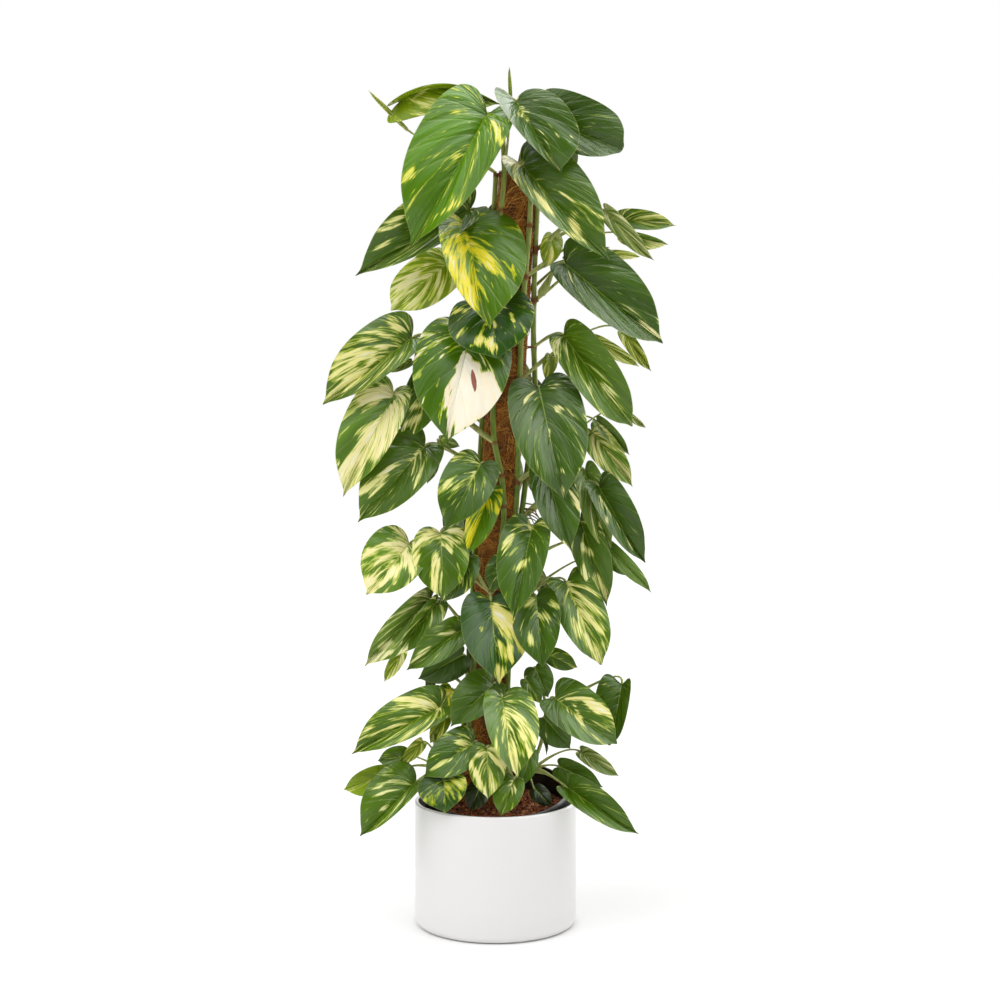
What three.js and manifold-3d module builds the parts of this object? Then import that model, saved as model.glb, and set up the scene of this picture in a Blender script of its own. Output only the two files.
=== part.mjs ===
// A marbled pothos climbing a coir pole, in a white ceramic pot. Millimetres, +Z up, front towards -Y.
// The origin is the middle of the pot's underside, on the floor.
import * as THREE from "three";
import Module from "manifold-3d";

// ---- driving dimensions -------------------------------------------------------------------------
const ceramic = { radius: 138.5, height: 212, wall: 7, floor: 9, foot: 12, lip: 3 };
const nursery = { foot: 104, mouth: 123, height: 232, wall: 1.6, floor: 2, lipOut: 3, lipDrop: 9, pressed: .2 };
const soil = { level: 205, gap: .5, swell: 4 };
const pole = { radius: 32, footX: -23, footZ: 40, atZ: 215, slope: .0575, top: 1283, sides: 16 };
const gap = .35; // clear air between pieces that touch
const spread = 3; // how much further that air reaches past a leaf's edge than over its face
const blade = .9; // thickness of a leaf
const stalk = 2.1; // radius of a leaf's stalk
const stem = 4.6; // radius of a climbing stem
const strideUp = 75; // height of one straight length of a stem

// Leaves are laid out on an upright board through the pole, as an eye in front of the plant sees them.
const eye = new THREE.Vector3(7.65, -3000, 885);
const boardMiddle = new THREE.Vector3(7.65, 0, 725.6);
const boardFoot = 15; // height of the board's lower edge, where its z starts, over the floor

// Half of a leaf's edge, from the stalk round the lobe to the tip: along the leaf, out from the rib.
const edgeShape = [
  [0, 0], [-.07, .15], [-.11, .4], [-.07, .7], [.07, .93], [.28, 1],
  [.5, .94], [.7, .72], [.86, .38], [.955, .12], [1, 0],
];
const edgeStations = [0, .16, .4, .64, .86, 1];
const smallStations = [0, .2, .5, .8, 1];
const smallLeaf = 85; // a leaf shorter than this has the coarser edge
const ribStart = .26; // the station on the edge whose vein leaves the rib at the stalk
const ribPower = 1.7;
const archUp = .08; // how far a leaf's middle stands proud, as a share of its length

// ---- the leaves ---------------------------------------------------------------------------------
// name, stem, stalk x and z, tip x and z, left and right half widths as seen, depth in front of the
// board at the stalk, and how much further forward the tip is
const left = "left";
const right = "right";
const shootLeft = "shootLeft";
const shootFront = "shootFront";
const shootRight = "shootRight";
const frontLeaves = [
  ["topLeftBack", left, -162, 1389, 11, 1377, 8, 41, 15, 10, { sweep: .15 }],
  ["leftSpike", left, -156, 1346, -218, 1408, 4, 4, 10, 0],
  ["topSpike", right, 26, 1387, 23, 1448, 3, 3, 60, 0],
  ["topLeftBig", left, -13, 1367, -142, 1144, 46, 88, 80, 30, { full: .85 }],
  ["topCentre", right, 35, 1389, 108, 1266, 68, 26, 85, 25, { sl: .2, sr: -.2 }],
  ["topRight", right, 69, 1363, 215, 1306, 60, 36, 40, 20, { full: .5, sl: .12 }],
  ["upperRightBig", right, 43, 1282, 190, 1114, 70, 27, 60, 40],
  ["rightNarrow", right, 188, 1200, 268, 1115, 15, 15, 60, 0],
  ["rightSmallA", right, 215, 1188, 307, 1178, 20, 14, 10, 5],
  ["rightSmallB", right, 218, 1164, 295, 1146, 7, 20, -5, 0],
  ["leftDarkLong", left, -43, 1204, -239, 1091, 24, 66, 30, 20],
  ["goldBig", left, -50, 1176, -14, 1000, 90, 46, 60, 60],
  ["leftPale", left, -79, 1115, -179, 1035, 42, 42, 15, 10, { full: .8, sr: .1 }],
  ["midDarkBroad", left, -9, 1049, 3, 957, 70, 75, 50, 65, { full: .6, sl: .12, sr: .08 }],
  ["halfCreamBig", left, -43, 994, -86, 808, 78, 82, 45, 40],
  ["leftMarbleA", left, -142, 986, -293, 872, 24, 63, 25, 20, { full: .85 }],
  ["leftSmallGrey", left, -145, 945, -186, 928, 8, 8, -5, 0],
  ["leftCream", left, -173, 891, -261, 717, 34, 58, 30, 20],
  ["leftInnerDark", left, -108, 928, -159, 808, 36, 31, 5, 10],
  ["leftDarkB", left, -120, 802, -234, 672, 41, 58, 20, 25],
  ["leftSmallDark", left, -105, 792, -116, 738, 14, 15, -10, 0],
  ["leftUnderside", left, -94, 813, -60, 802, 10, 10, 25, 0],
  ["heartMidLeft", left, -25, 772, -86, 661, 39, 49, 60, 25],
  ["behindHeart", left, -9, 726, -48, 615, 26, 24, 42, 10],
  ["lowMarbleLeft", left, -147, 636, -218, 547, 44, 58, 20, 20],
  ["lowMarbleMid", left, -93, 654, -88, 539, 46, 49, 40, 20],
  ["lowDarkMid", left, -50, 615, -86, 536, 31, 34, 36, 5],
  ["nearPoleDark", left, 16, 609, -9, 554, 22, 24, 42, 10],
  ["centreLong", right, 62, 665, 30, 507, 34, 48, 50, 55],
  ["centreBelow", right, 69, 546, 81, 423, 37, 44, 50, 45],
  ["rightMarbleHang", right, 120, 571, 183, 432, 44, 37, 25, 30, { full: .7 }],
  ["rightDarkUnder", right, 140, 520, 174, 435, 17, 27, 8, 5],
  ["centreHalf", left, -8, 539, 6, 398, 61, 53, 50, 40],
  ["lowLeftGrey", left, -111, 541, -225, 430, 37, 27, 10, 10],
  ["lowLeftGreyB", left, -101, 536, -166, 447, 27, 14, 28, 10],
  ["lowLeftGreen", left, -57, 491, -152, 420, 24, 31, 35, 20],
  ["lowLeftTip", left, -159, 452, -190, 401, 12, 12, 0, 0],
  ["lowLeftDark", left, -57, 447, -132, 405, 31, 24, 22, 10],
  ["lowLeftGold", shootLeft, -74, 388, -101, 332, 24, 24, 15, 5],
  ["plainMid", left, -3, 398, -77, 326, 27, 42, 42, 25],
  ["leftLowBig", shootLeft, -93, 359, -247, 280, 24, 48, 30, 20],
  ["leftLowFold", shootLeft, -152, 275, -201, 267, 17, 20, 5, 0],
  ["leftLowYoung", shootLeft, -125, 299, -159, 262, 12, 12, 15, 0],
  ["leftLowPale", shootLeft, -84, 345, -111, 296, 14, 14, 12, 0],
  ["leftBottomBack", shootLeft, -188, 245, -259, 218, 27, 20, -10, 5],
  ["leftBottom", shootLeft, -135, 231, -229, 136, 14, 56, 30, 25],
  ["frontLeftRound", shootLeft, -37, 299, -123, 240, 32, 39, 60, 20],
  ["frontSmallMarble", shootFront, -14, 289, -13, 201, 31, 31, 90, 20],
  ["frontBigLow", right, 11, 374, 37, 238, 53, 34, 75, 45],
  ["frontGreenBack", shootFront, 59, 282, 45, 224, 17, 17, 55, 5],
  ["rimGold", shootLeft, -88, 238, -84, 178, 37, 44, 75, 25],
  ["rimGreen", shootFront, 31, 235, 8, 173, 22, 27, 85, 15],
  ["soilDarkA", shootFront, -26, 224, -43, 182, 20, 20, 60, 10],
  ["soilDarkB", shootRight, 67, 219, 96, 190, 15, 15, 30, 5],
  ["rightLowMarble", shootRight, 101, 374, 205, 294, 48, 34, 45, 25, { full: .75 }],
  ["rightLowRound", shootRight, 215, 398, 196, 292, 17, 41, 10, 5, { full: .6 }],
  ["rightLowDark", shootRight, 84, 340, 128, 287, 24, 27, 22, 5],
  ["rightLowGreen", shootRight, 67, 425, 89, 374, 24, 24, 20, 10],
  ["rightLowBits", shootRight, 93, 447, 140, 425, 17, 17, 10, 5],
  ["rightLowCream", shootRight, 52, 405, 79, 364, 14, 14, 38, 5],
  ["rightLowPlain", shootRight, 110, 257, 183, 221, 20, 24, 15, 10],
  ["rightLowGrey", shootRight, 147, 282, 210, 240, 14, 14, -5, 5],
  ["rightBottom", shootRight, 123, 221, 242, 139, 31, 19, 40, 30],
  ["bigRightDark", right, 74, 901, 116, 711, 66, 58, 65, 50, { full: .9 }],
  ["rightUpperDark", right, 118, 1112, 285, 976, 66, 34, 45, 35, { full: .85, sr: .1 }],
  ["rightMidGreen", right, 115, 991, 230, 836, 44, 34, 40, 30, { full: .75, sl: .08, sr: .12 }],
  ["rightMidGrey", right, 173, 983, 246, 938, 10, 14, 5, 0],
  ["rightYoung", right, 218, 994, 264, 928, 12, 12, 0, 0],
  ["nearPoleYoung", right, 98, 1158, 84, 1105, 20, 17, 30, 5],
  ["nearPoleYoungB", right, 93, 955, 84, 916, 15, 10, 35, 5],
  ["underUpperA", right, 123, 1120, 195, 1141, 10, 14, 20, 0],
  ["underUpperB", right, 196, 1130, 247, 1125, 7, 8, 10, 0],
  ["rightGreyTip", right, 174, 843, 229, 787, 14, 10, 15, 0],
  ["rightThinTip", right, 225, 857, 256, 833, 5, 7, 0, 0],
  ["rightMarbleB", right, 164, 826, 235, 734, 24, 27, 8, 5],
  ["rightLowerDark", right, 176, 733, 251, 602, 36, 22, 40, 20, { full: .8 }],
  ["rightFrontDark", right, 84, 762, 128, 624, 41, 32, 48, 20],
  ["rightMidDark", right, 152, 758, 193, 614, 27, 24, 22, 5],
  ["rightLowGold", right, 144, 677, 193, 530, 31, 31, 12, 10],
  ["rightNarrowLow", right, 188, 634, 268, 554, 14, 14, 10, 5],
  ["rightBright", right, 198, 609, 237, 585, 15, 15, -5, 0],
];

// The far side repeats leaves of the near side: name, stem, turn about the pole in degrees, rise.
const back = "back";
const farLeaves = [
  ["topCentre", back, 135, -60], ["topCentre", back, 225, -30], ["goldBig", back, 225, 0],
  ["goldBig", back, 250, 40], ["leftPale", back, 198, 0], ["rightMidGreen", back, 108, -30],
  ["leftPale", back, 261, -30], ["halfCreamBig", back, 255, 20], ["rightMidGreen", back, 162, 0],
  ["bigRightDark", back, 108, -60], ["bigRightDark", back, 90, 0],
  ["heartMidLeft", back, 144, -30], ["heartMidLeft", back, 243, 0], ["leftDarkB", back, 252, -60],
  ["leftDarkB", back, 270, 0], ["centreLong", back, 189, 30], ["lowMarbleMid", back, 234, 0],
  ["centreBelow", back, 135, 0], ["centreHalf", back, 162, 0], ["centreHalf", back, 252, -60],
  ["lowLeftGreen", back, 243, -60], ["leftCream", back, 261, 30], ["plainMid", back, 234, -30],
  ["plainMid", back, 117, -60], ["frontBigLow", back, 144, -60], ["leftLowBig", back, 235, 0],
  ["frontLeftRound", back, 225, -30], ["centreLong", back, 108, -60],
];

// ---- the stems ----------------------------------------------------------------------------------
// A climber's points: height, turn about the pole from the front (right is positive), distance off it.
const climbers = {
  left: [
    [[155, -70, 26], [230, -68, 22], [305, -52, 4], [435, -48, 0], [555, -12, 0], [675, 14, 0],
      [755, 6, 0], [835, -24, 0], [965, -38, 0], [1115, -50, 0], [1265, -38, 0], [1345, -50, 2]],
    [[230, -68, 22], [315, -96, 4], [515, -104, 0], [815, -100, 0], [1065, -96, 0], [1277, -92, 0]],
  ],
  right: [
    [[155, 55, 26], [230, 56, 22], [315, 62, 5], [495, 58, 0], [635, 66, 0], [755, 84, 6],
      [895, 88, 13], [1015, 78, 5], [1165, 78, 0], [1315, 72, 1]],
    [[230, 56, 22], [315, 30, 6], [435, 26, 0], [575, 34, 0], [715, 52, 0], [875, 40, 0],
      [1035, 34, 0], [1195, 40, 0], [1300, 34, 0]],
  ],
  back: [
    [[155, 180, 22], [230, 178, 18], [335, 200, 2], [535, 215, 0], [775, 196, 0], [1015, 214, 0],
      [1240, 204, 0]],
    [[230, 178, 18], [335, 140, 3], [535, 136, 0], [775, 152, 0], [1015, 134, 0], [1230, 146, 0]],
  ],
};

// A shoot's points in space, from the foot of its climber.
const shoots = {
  shootLeft: { from: "left", points: [[-90, -42, 277], [-104, -40, 320], [-104, -28, 367]] },
  shootFront: { from: "right", points: [[34, -62, 249], [22, -82, 277], [12, -84, 303]] },
  shootRight: { from: "right", points: [[62, -32, 277], [84, -24, 345], [80, -12, 413]] },
};

// ---- small helpers ------------------------------------------------------------------------------
const wasm = await Module();
wasm.setup();

const point = (x, y, z) => new THREE.Vector3(x, y, z);
const radians = (degrees) => degrees * Math.PI / 180;

function toManifold(vertices, triangles) {
  const vertProperties = new Float32Array(vertices.flatMap((v) => [v.x, v.y, v.z]));
  const mesh = new wasm.Mesh({ numProp: 3, vertProperties, triVerts: new Uint32Array(triangles.flat()) });
  return new wasm.Manifold(mesh);
}

function toGeometry(solid) {
  const mesh = solid.getMesh();
  const geometry = new THREE.BufferGeometry();
  geometry.setAttribute("position", new THREE.BufferAttribute(new Float32Array(mesh.vertProperties), 3));
  geometry.setIndex(new THREE.BufferAttribute(new Uint32Array(mesh.triVerts), 1));
  geometry.computeVertexNormals();
  return geometry;
}

// A profile of (radius, height) points turned once about +Z; the first and last are on the axis.
function turned(profile, segments) {
  const vertices = [];
  const ring = [];
  for (const [radius, height] of profile) {
    if (radius === 0) {
      ring.push(Array(segments).fill(vertices.length));
      vertices.push(point(0, 0, height));
      continue;
    }
    ring.push(Array.from({ length: segments }, (_, i) => vertices.length + i));
    for (let i = 0; i < segments; i++) {
      const turn = 2 * Math.PI * i / segments;
      vertices.push(point(radius * Math.cos(turn), radius * Math.sin(turn), height));
    }
  }
  const triangles = [];
  for (let k = 0; k + 1 < profile.length; k++) {
    for (let i = 0; i < segments; i++) {
      const j = (i + 1) % segments;
      const [a, b, c, d] = [ring[k][i], ring[k][j], ring[k + 1][j], ring[k + 1][i]];
      if (a !== b) triangles.push([a, b, c]);
      if (c !== d) triangles.push([a, c, d]);
    }
  }
  return toManifold(vertices, triangles);
}

// A closed tube along a list of points.
function tube(points, radius, sides) {
  const vertices = [];
  const triangles = [];
  const last = points.length - 1;
  let across = point(1, 0, 0);
  points.forEach((centre, k) => {
    const along = points[Math.min(k + 1, last)].clone().sub(points[Math.max(k - 1, 0)]).normalize();
    across = across.addScaledVector(along, -across.dot(along)).normalize().clone();
    const third = along.clone().cross(across);
    for (let i = 0; i < sides; i++) {
      const turn = 2 * Math.PI * i / sides;
      const out = across.clone().multiplyScalar(radius * Math.cos(turn));
      vertices.push(centre.clone().add(out).addScaledVector(third, radius * Math.sin(turn)));
    }
  });
  for (let k = 0; k < last; k++) {
    for (let i = 0; i < sides; i++) {
      const j = (i + 1) % sides;
      const [a, b] = [k * sides + i, k * sides + j];
      triangles.push([a, b, b + sides], [a, b + sides, a + sides]);
    }
  }
  for (let i = 1; i + 1 < sides; i++) {
    triangles.push([0, i + 1, i], [last * sides, last * sides + i, last * sides + i + 1]);
  }
  return toManifold(vertices, triangles);
}

// A smooth curve through points, cut into equal steps.
function smooth(points, steps) {
  return new THREE.CatmullRomCurve3(points, false, "centripetal").getPoints(steps);
}

// ---- pot, nursery pot, soil, pole ---------------------------------------------------------------
function quarterArc(centre, radius, from, steps) {
  return Array.from({ length: steps + 1 }, (_, i) => {
    const turn = radians(from + 90 * i / steps);
    return [centre[0] + radius * Math.cos(turn), centre[1] + radius * Math.sin(turn)];
  });
}

function ceramicSolid(grow) {
  const { radius, height, wall, floor, foot, lip } = ceramic;
  const inner = radius - wall;
  return turned([
    [0, -grow],
    ...quarterArc([radius - foot, foot], foot + grow, -90, 3),
    ...quarterArc([radius - lip, height - lip], lip + grow, 0, 2),
    [inner - grow, height - 1],
    [inner - grow, floor + grow],
    [0, floor + grow],
  ], 40);
}

// The soft nursery pot is pressed down at the front, more the higher up.
function pressDown(solid) {
  const base = ceramic.floor + gap;
  return solid.warp((v) => {
    v[2] += nursery.pressed * v[1] * Math.max(0, v[2] - base) / (nursery.height - base);
  });
}

function nurserySolid(grow) {
  const { foot, mouth, height, wall, floor, lipOut, lipDrop } = nursery;
  const base = ceramic.floor + gap;
  return pressDown(turned([
    [0, base - grow], [foot + grow, base - grow], [mouth + grow, height - lipDrop - grow],
    [mouth + lipOut + grow, height - lipDrop - grow], [mouth + lipOut + grow, height + grow],
    [mouth - wall - grow, height + grow], [foot - wall - grow, base + floor + grow], [0, base + floor + grow],
  ], 36));
}

// The soil fills the nursery pot up to a lumpy top.
function soilSolid(grow) {
  const { foot, mouth, height, wall, floor } = nursery;
  const base = ceramic.floor + gap + floor + soil.gap;
  const inset = wall + soil.gap + .3 - grow;
  const filling = pressDown(turned([
    [0, base - grow], [foot - inset, base - grow], [mouth - inset, height - 2], [0, height - 2],
  ], 36));
  const lid = turned([
    [0, 0], [mouth + 5, 0], [mouth + 5, soil.level], [mouth * .84, soil.level], [mouth * .56, soil.level],
    [0, soil.level],
  ], 24).warp((v) => {
    if (v[2] > 0) v[2] += grow + soil.swell * Math.sin(v[0] / 17) * Math.cos(v[1] / 21);
  });
  return filling.intersect(lid);
}

const poleMiddle = (z) => point(pole.footX + (z - pole.atZ) * pole.slope, 0, z);

function poleSolid(grow) {
  const body = tube([poleMiddle(pole.footZ - grow), poleMiddle(pole.top - 4 + grow)], pole.radius + grow, pole.sides);
  const cap = tube([poleMiddle(pole.top - 6), poleMiddle(pole.top + grow)], pole.radius - 4 + grow, pole.sides);
  return body.add(cap);
}

// ---- stems --------------------------------------------------------------------------------------
function climberPoint([z, turn, off]) {
  const out = pole.radius + stem + gap + .15 + off;
  return poleMiddle(z).add(point(out * Math.sin(radians(turn)), -out * Math.cos(radians(turn)), 0));
}

// A climber follows the pole's round: its turn and distance change smoothly between its points.
function climberPath(list) {
  const guide = new THREE.CatmullRomCurve3(list.map(([z, turn, off]) => point(z, turn, off)), false, "centripetal");
  const steps = Math.ceil((list.at(-1)[0] - list[0][0]) / strideUp);
  return guide.getPoints(steps).map((v) => climberPoint([v.x, v.y, Math.max(0, v.z)]));
}

const climberPaths = Object.fromEntries(
  Object.entries(climbers).map(([name, lists]) => [name, lists.map(climberPath)]),
);
const shootPaths = Object.fromEntries(Object.entries(shoots).map(([name, { from, points }]) => {
  const foot = climberPoint(climbers[from][0][1]);
  return [name, smooth([foot, ...points.map((p) => point(...p))], 4)];
}));

// The stem's point that a leaf's stalk springs from: a little under the leaf, nearer for a near leaf.
function springPoint(stemName, base) {
  const paths = climberPaths[stemName] ?? [shootPaths[stemName]];
  let best = null;
  for (const path of paths) {
    for (const p of path.slice(1)) {
      const flat = Math.hypot(p.x - base.x, p.y - base.y);
      const drop = base.z - p.z;
      const cost = Math.abs(drop - 22 - .3 * flat) + .6 * flat;
      if (!best || cost < best.cost) best = { cost, p };
    }
  }
  return best.p.clone();
}

// ---- leaves -------------------------------------------------------------------------------------
// The place in space of a point of the board, moved depth towards the eye.
function fromBoard(x, z, depth) {
  const line = boardMiddle.clone().sub(eye);
  const reach = line.length();
  const over = point(1, 0, 0);
  const up = over.clone().cross(line.divideScalar(reach));
  const onBoard = boardMiddle.clone().addScaledVector(over, x - boardMiddle.x)
    .addScaledVector(up, z + boardFoot - boardMiddle.z);
  return onBoard.sub(eye).multiplyScalar(1 - depth / reach).add(eye);
}

function leafFrame([, , baseX, baseZ, tipX, tipZ, leftWidth, rightWidth, depth, lean, more = {}]) {
  const base = fromBoard(baseX, baseZ, depth);
  const tip = fromBoard(tipX, tipZ, depth + lean);
  const along = tip.clone().sub(base);
  const length = along.length();
  along.divideScalar(length);
  const face = eye.clone().sub(base.clone().add(tip).divideScalar(2)).normalize();
  face.addScaledVector(along, -face.dot(along)).normalize();
  const across = face.clone().cross(along);
  const wider = Math.max(leftWidth, rightWidth);
  const half = Math.max(wider, Math.min(.3 * length, wider * 1.25));
  return { base, along, across, face, length, half, seen: [leftWidth, rightWidth], more };
}

const edgeCurve = (station) => {
  const last = edgeShape.length - 1;
  const at = Math.min(Math.floor(station * last), last - 1);
  const t = station * last - at;
  const p = (i) => {
    if (i < 0) return [2 * edgeShape[0][0] - edgeShape[1][0], 2 * edgeShape[0][1] - edgeShape[1][1]];
    if (i > last) return [2 * edgeShape[last][0] - edgeShape[last - 1][0], 2 * edgeShape[last][1] - edgeShape[last - 1][1]];
    return edgeShape[i];
  };
  const blend = (k) => .5 * (2 * p(at)[k] + (p(at + 1)[k] - p(at - 1)[k]) * t
    + (2 * p(at - 1)[k] - 5 * p(at)[k] + 4 * p(at + 1)[k] - p(at + 2)[k]) * t * t
    + (3 * p(at)[k] - p(at - 1)[k] - 3 * p(at + 1)[k] + p(at + 2)[k]) * t * t * t);
  return [blend(0), Math.max(0, blend(1))];
};

// A point of a leaf: station round its edge, share of the way there from the rib, and side (+1 left).
function leafPoint(frame, station, share, side) {
  const { base, along, across, face, length, half, seen, more } = frame;
  const { full = 1, sweep = 0, sl = 0, sr = 0 } = more;
  const flat = Math.min(1, seen[side > 0 ? 0 : 1] / half);
  const steep = Math.sqrt(1 - flat * flat);
  const rib = Math.max(0, (station - ribStart) / (1 - ribStart)) ** ribPower;
  const [edgeX, edgeY] = edgeCurve(station);
  const y = edgeY ** full * share;
  const x = rib + (edgeX - rib) * share + (side > 0 ? sl : sr) * y;
  const bow = 4 * x * (1 - x);
  const proud = archUp * length * bow + .8 * half * y * steep - .1 * half * y * y;
  const aside = side * y * half * flat + sweep * length * bow;
  return base.clone().addScaledVector(along, x * length).addScaledVector(across, aside)
    .addScaledVector(face, proud);
}

// The stalk leaves the stem outwards, rises, and comes down to the leaf from behind its lobes.
function stalkPoints(from, { base, along, face }) {
  const reach = base.distanceTo(from);
  const out = base.clone().sub(from).setZ(0).normalize();
  const first = from.clone().addScaledVector(out, .3 * reach).add(point(0, 0, .22 * reach));
  const second = base.clone().addScaledVector(along, -.28 * reach).addScaledVector(face, -.1 * reach);
  return new THREE.CubicBezierCurve3(from, first, second, base).getPoints(3);
}

// A leaf and its stalk as one closed body. Both faces share one pattern of triangles, joined round the
// edge; the stalk is a square tube whose last ring is sewn to the leaf.
function leafSolid(frame, from, grow) {
  const { along, across, face, length, half, seen } = frame;
  const stations = length < smallLeaf ? smallStations : edgeStations;
  const thick = blade / 2 + grow;
  const round = stalk + grow;
  const vertices = [];
  const triangles = [];

  // rings of the stalk from the leaf back to the stem: left, front, right and back of each
  const path = stalkPoints(from, frame).reverse();
  let aside = across.clone();
  path.forEach((centre, k) => {
    const next = path[Math.min(k + 1, path.length - 1)];
    const before = path[Math.max(k - 1, 0)];
    const forward = k === 0 ? along : before.clone().sub(next).normalize();
    aside = aside.addScaledVector(forward, -aside.dot(forward)).normalize().clone();
    const front = forward.clone().cross(aside);
    for (const [p, q] of [[1, 0], [0, 1], [-1, 0], [0, -1]]) {
      vertices.push(centre.clone().addScaledVector(aside, p * round).addScaledVector(front, q * round));
    }
  });
  const rings = path.length;
  for (let k = 0; k + 1 < rings; k++) {
    for (let i = 0; i < 4; i++) {
      const j = (i + 1) % 4;
      const [a, b] = [4 * (k + 1) + i, 4 * (k + 1) + j];
      triangles.push([a, b, b - 4], [a, b - 4, a - 4]);
    }
  }
  const foot = 4 * (rings - 1);
  triangles.push([foot, foot + 2, foot + 1], [foot, foot + 3, foot + 2]);

  // a pair of points, one on each face: [front, back]
  const pair = (middle, normal) => {
    vertices.push(middle.clone().addScaledVector(normal, thick), middle.clone().addScaledVector(normal, -thick));
    return [vertices.length - 2, vertices.length - 1];
  };
  const stalkEnd = [1, 3];
  const tip = pair(leafPoint(frame, 1, 0, 1).addScaledVector(along, spread * grow), face);
  const ribs = stations.map((station) => {
    if (station <= ribStart) return stalkEnd;
    return station === 1 ? tip : pair(leafPoint(frame, station, 0, 1), face);
  });
  const put = (a, b, c, flip) => triangles.push(flip ? [a, c, b] : [a, b, c]);
  const addFace = (a, b, c, flip) => {
    if (a === b || b === c || c === a) return;
    put(a[0], b[0], c[0], flip);
    put(a[1], b[1], c[1], !flip);
  };
  for (const side of [1, -1]) {
    const flip = side > 0;
    const flat = Math.min(1, seen[flip ? 0 : 1] / half);
    const normal = face.clone().multiplyScalar(flat)
      .addScaledVector(across, -side * Math.sqrt(1 - flat * flat)).normalize();
    const edge = stations.map((station) => {
      if (station === 0) return stalkEnd;
      if (station === 1) return tip;
      const rim = leafPoint(frame, station, 1 + spread * grow / half, side);
      return pair(station > ribStart ? rim : rim.addScaledVector(along, -spread * grow), normal);
    });
    for (let k = 0; k + 1 < edge.length; k++) {
      const [a, b] = [edge[k], edge[k + 1]];
      addFace(ribs[k], a, b, flip);
      addFace(ribs[k], b, ribs[k + 1], flip);
      if (k === 0) {
        const flank = flip ? 0 : 2;
        put(a[0], flank, b[0], flip);
        put(flank, b[1], b[0], flip);
        put(flank, a[1], b[1], flip);
      } else {
        put(a[0], b[1], b[0], flip);
        put(a[0], a[1], b[1], flip);
      }
    }
  }
  return toManifold(vertices, triangles);
}

function turnedFrame(frame, degrees, rise) {
  const turn = new THREE.Matrix4().makeRotationZ(radians(degrees));
  const base = frame.base.clone().sub(poleMiddle(frame.base.z)).applyMatrix4(turn)
    .add(poleMiddle(frame.base.z + rise));
  const [along, across, face] = [frame.along, frame.across, frame.face]
    .map((v) => v.clone().applyMatrix4(turn));
  return { ...frame, base, along, across, face };
}

const rows = new Map(frontLeaves.map((row) => [row[0], row]));
const allLeaves = [
  ...frontLeaves.map((row) => ({ stemName: row[1], frame: leafFrame(row) })),
  ...farLeaves.map(([name, stemName, degrees, rise]) => (
    { stemName, frame: turnedFrame(leafFrame(rows.get(name)), degrees, rise) })),
];

// ---- leafy stems --------------------------------------------------------------------------------
function leafyStem(stemName, grow) {
  const shootNames = Object.keys(shoots).filter((name) => shoots[name].from === stemName);
  const pieces = climberPaths[stemName].map((path) => tube(path, stem + grow, 5));
  pieces.push(...shootNames.map((name) => tube(shootPaths[name], stem - 1 + grow, 5)));
  for (const leaf of allLeaves) {
    if (leaf.stemName !== stemName && !shootNames.includes(leaf.stemName)) continue;
    pieces.push(leafSolid(leaf.frame, springPoint(leaf.stemName, leaf.frame.base), grow));
  }
  return wasm.Manifold.union(pieces);
}

function largest(solid) {
  return solid.decompose().sort((a, b) => b.volume() - a.volume())[0];
}

const soilHoles = Object.keys(climbers).map((name) => {
  const path = climberPaths[name][0];
  return [path[0], climberPoint(climbers[name][0][1])];
});

function build() {
  const holes = soilHoles.map(([low, high]) => {
    const top = high.clone().add(high.clone().sub(low));
    return tube([low.clone().setZ(low.z - 2), top], stem + gap + .6, 8);
  });
  const soilBody = soilSolid(0).subtract(poleSolid(gap)).subtract(wasm.Manifold.union(holes));
  const slimHoles = soilHoles.map(([low, high]) => {
    const top = high.clone().add(high.clone().sub(low));
    return tube([low.clone().setZ(low.z - 2), top], stem + .2, 8);
  });
  const soilKeepout = soilSolid(gap).subtract(wasm.Manifold.union(slimHoles));
  let keepout = wasm.Manifold.union([ceramicSolid(gap), nurserySolid(gap), soilKeepout, poleSolid(gap)]);
  const stems = {};
  for (const name of Object.keys(climbers)) {
    stems[name] = largest(leafyStem(name, 0).subtract(keepout));
    keepout = keepout.add(leafyStem(name, gap));
  }
  return {
    ceramic_pot: [ceramicSolid(0), "#f1f0ee", .35],
    nursery_pot: [nurserySolid(0), "#1b1b1c", .6],
    potting_soil: [soilBody, "#5a3a26", .95],
    coir_pole: [poleSolid(0), "#7a4a2c", .95],
    vine_left: [stems.left, "#7d9a3c", .45],
    vine_right: [stems.right, "#4d7038", .45],
    vine_back: [stems.back, "#5f8038", .45],
  };
}

const plant = new THREE.Group();
plant.name = "marbled_pothos";
for (const [name, [solid, colour, roughness]] of Object.entries(build())) {
  const material = new THREE.MeshStandardMaterial({ color: colour, roughness, metalness: 0 });
  const mesh = new THREE.Mesh(toGeometry(solid), material);
  mesh.name = name;
  plant.add(mesh);
}

export default plant;
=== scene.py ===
# A marbled pothos climbing a coir pole, in a white ceramic pot with its nursery pot inside.
# Sizes are in millimetres until they go into a mesh. +Z is up and the front faces -Y.
import math

import bpy
import numpy as np
from mathutils import Matrix


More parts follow.
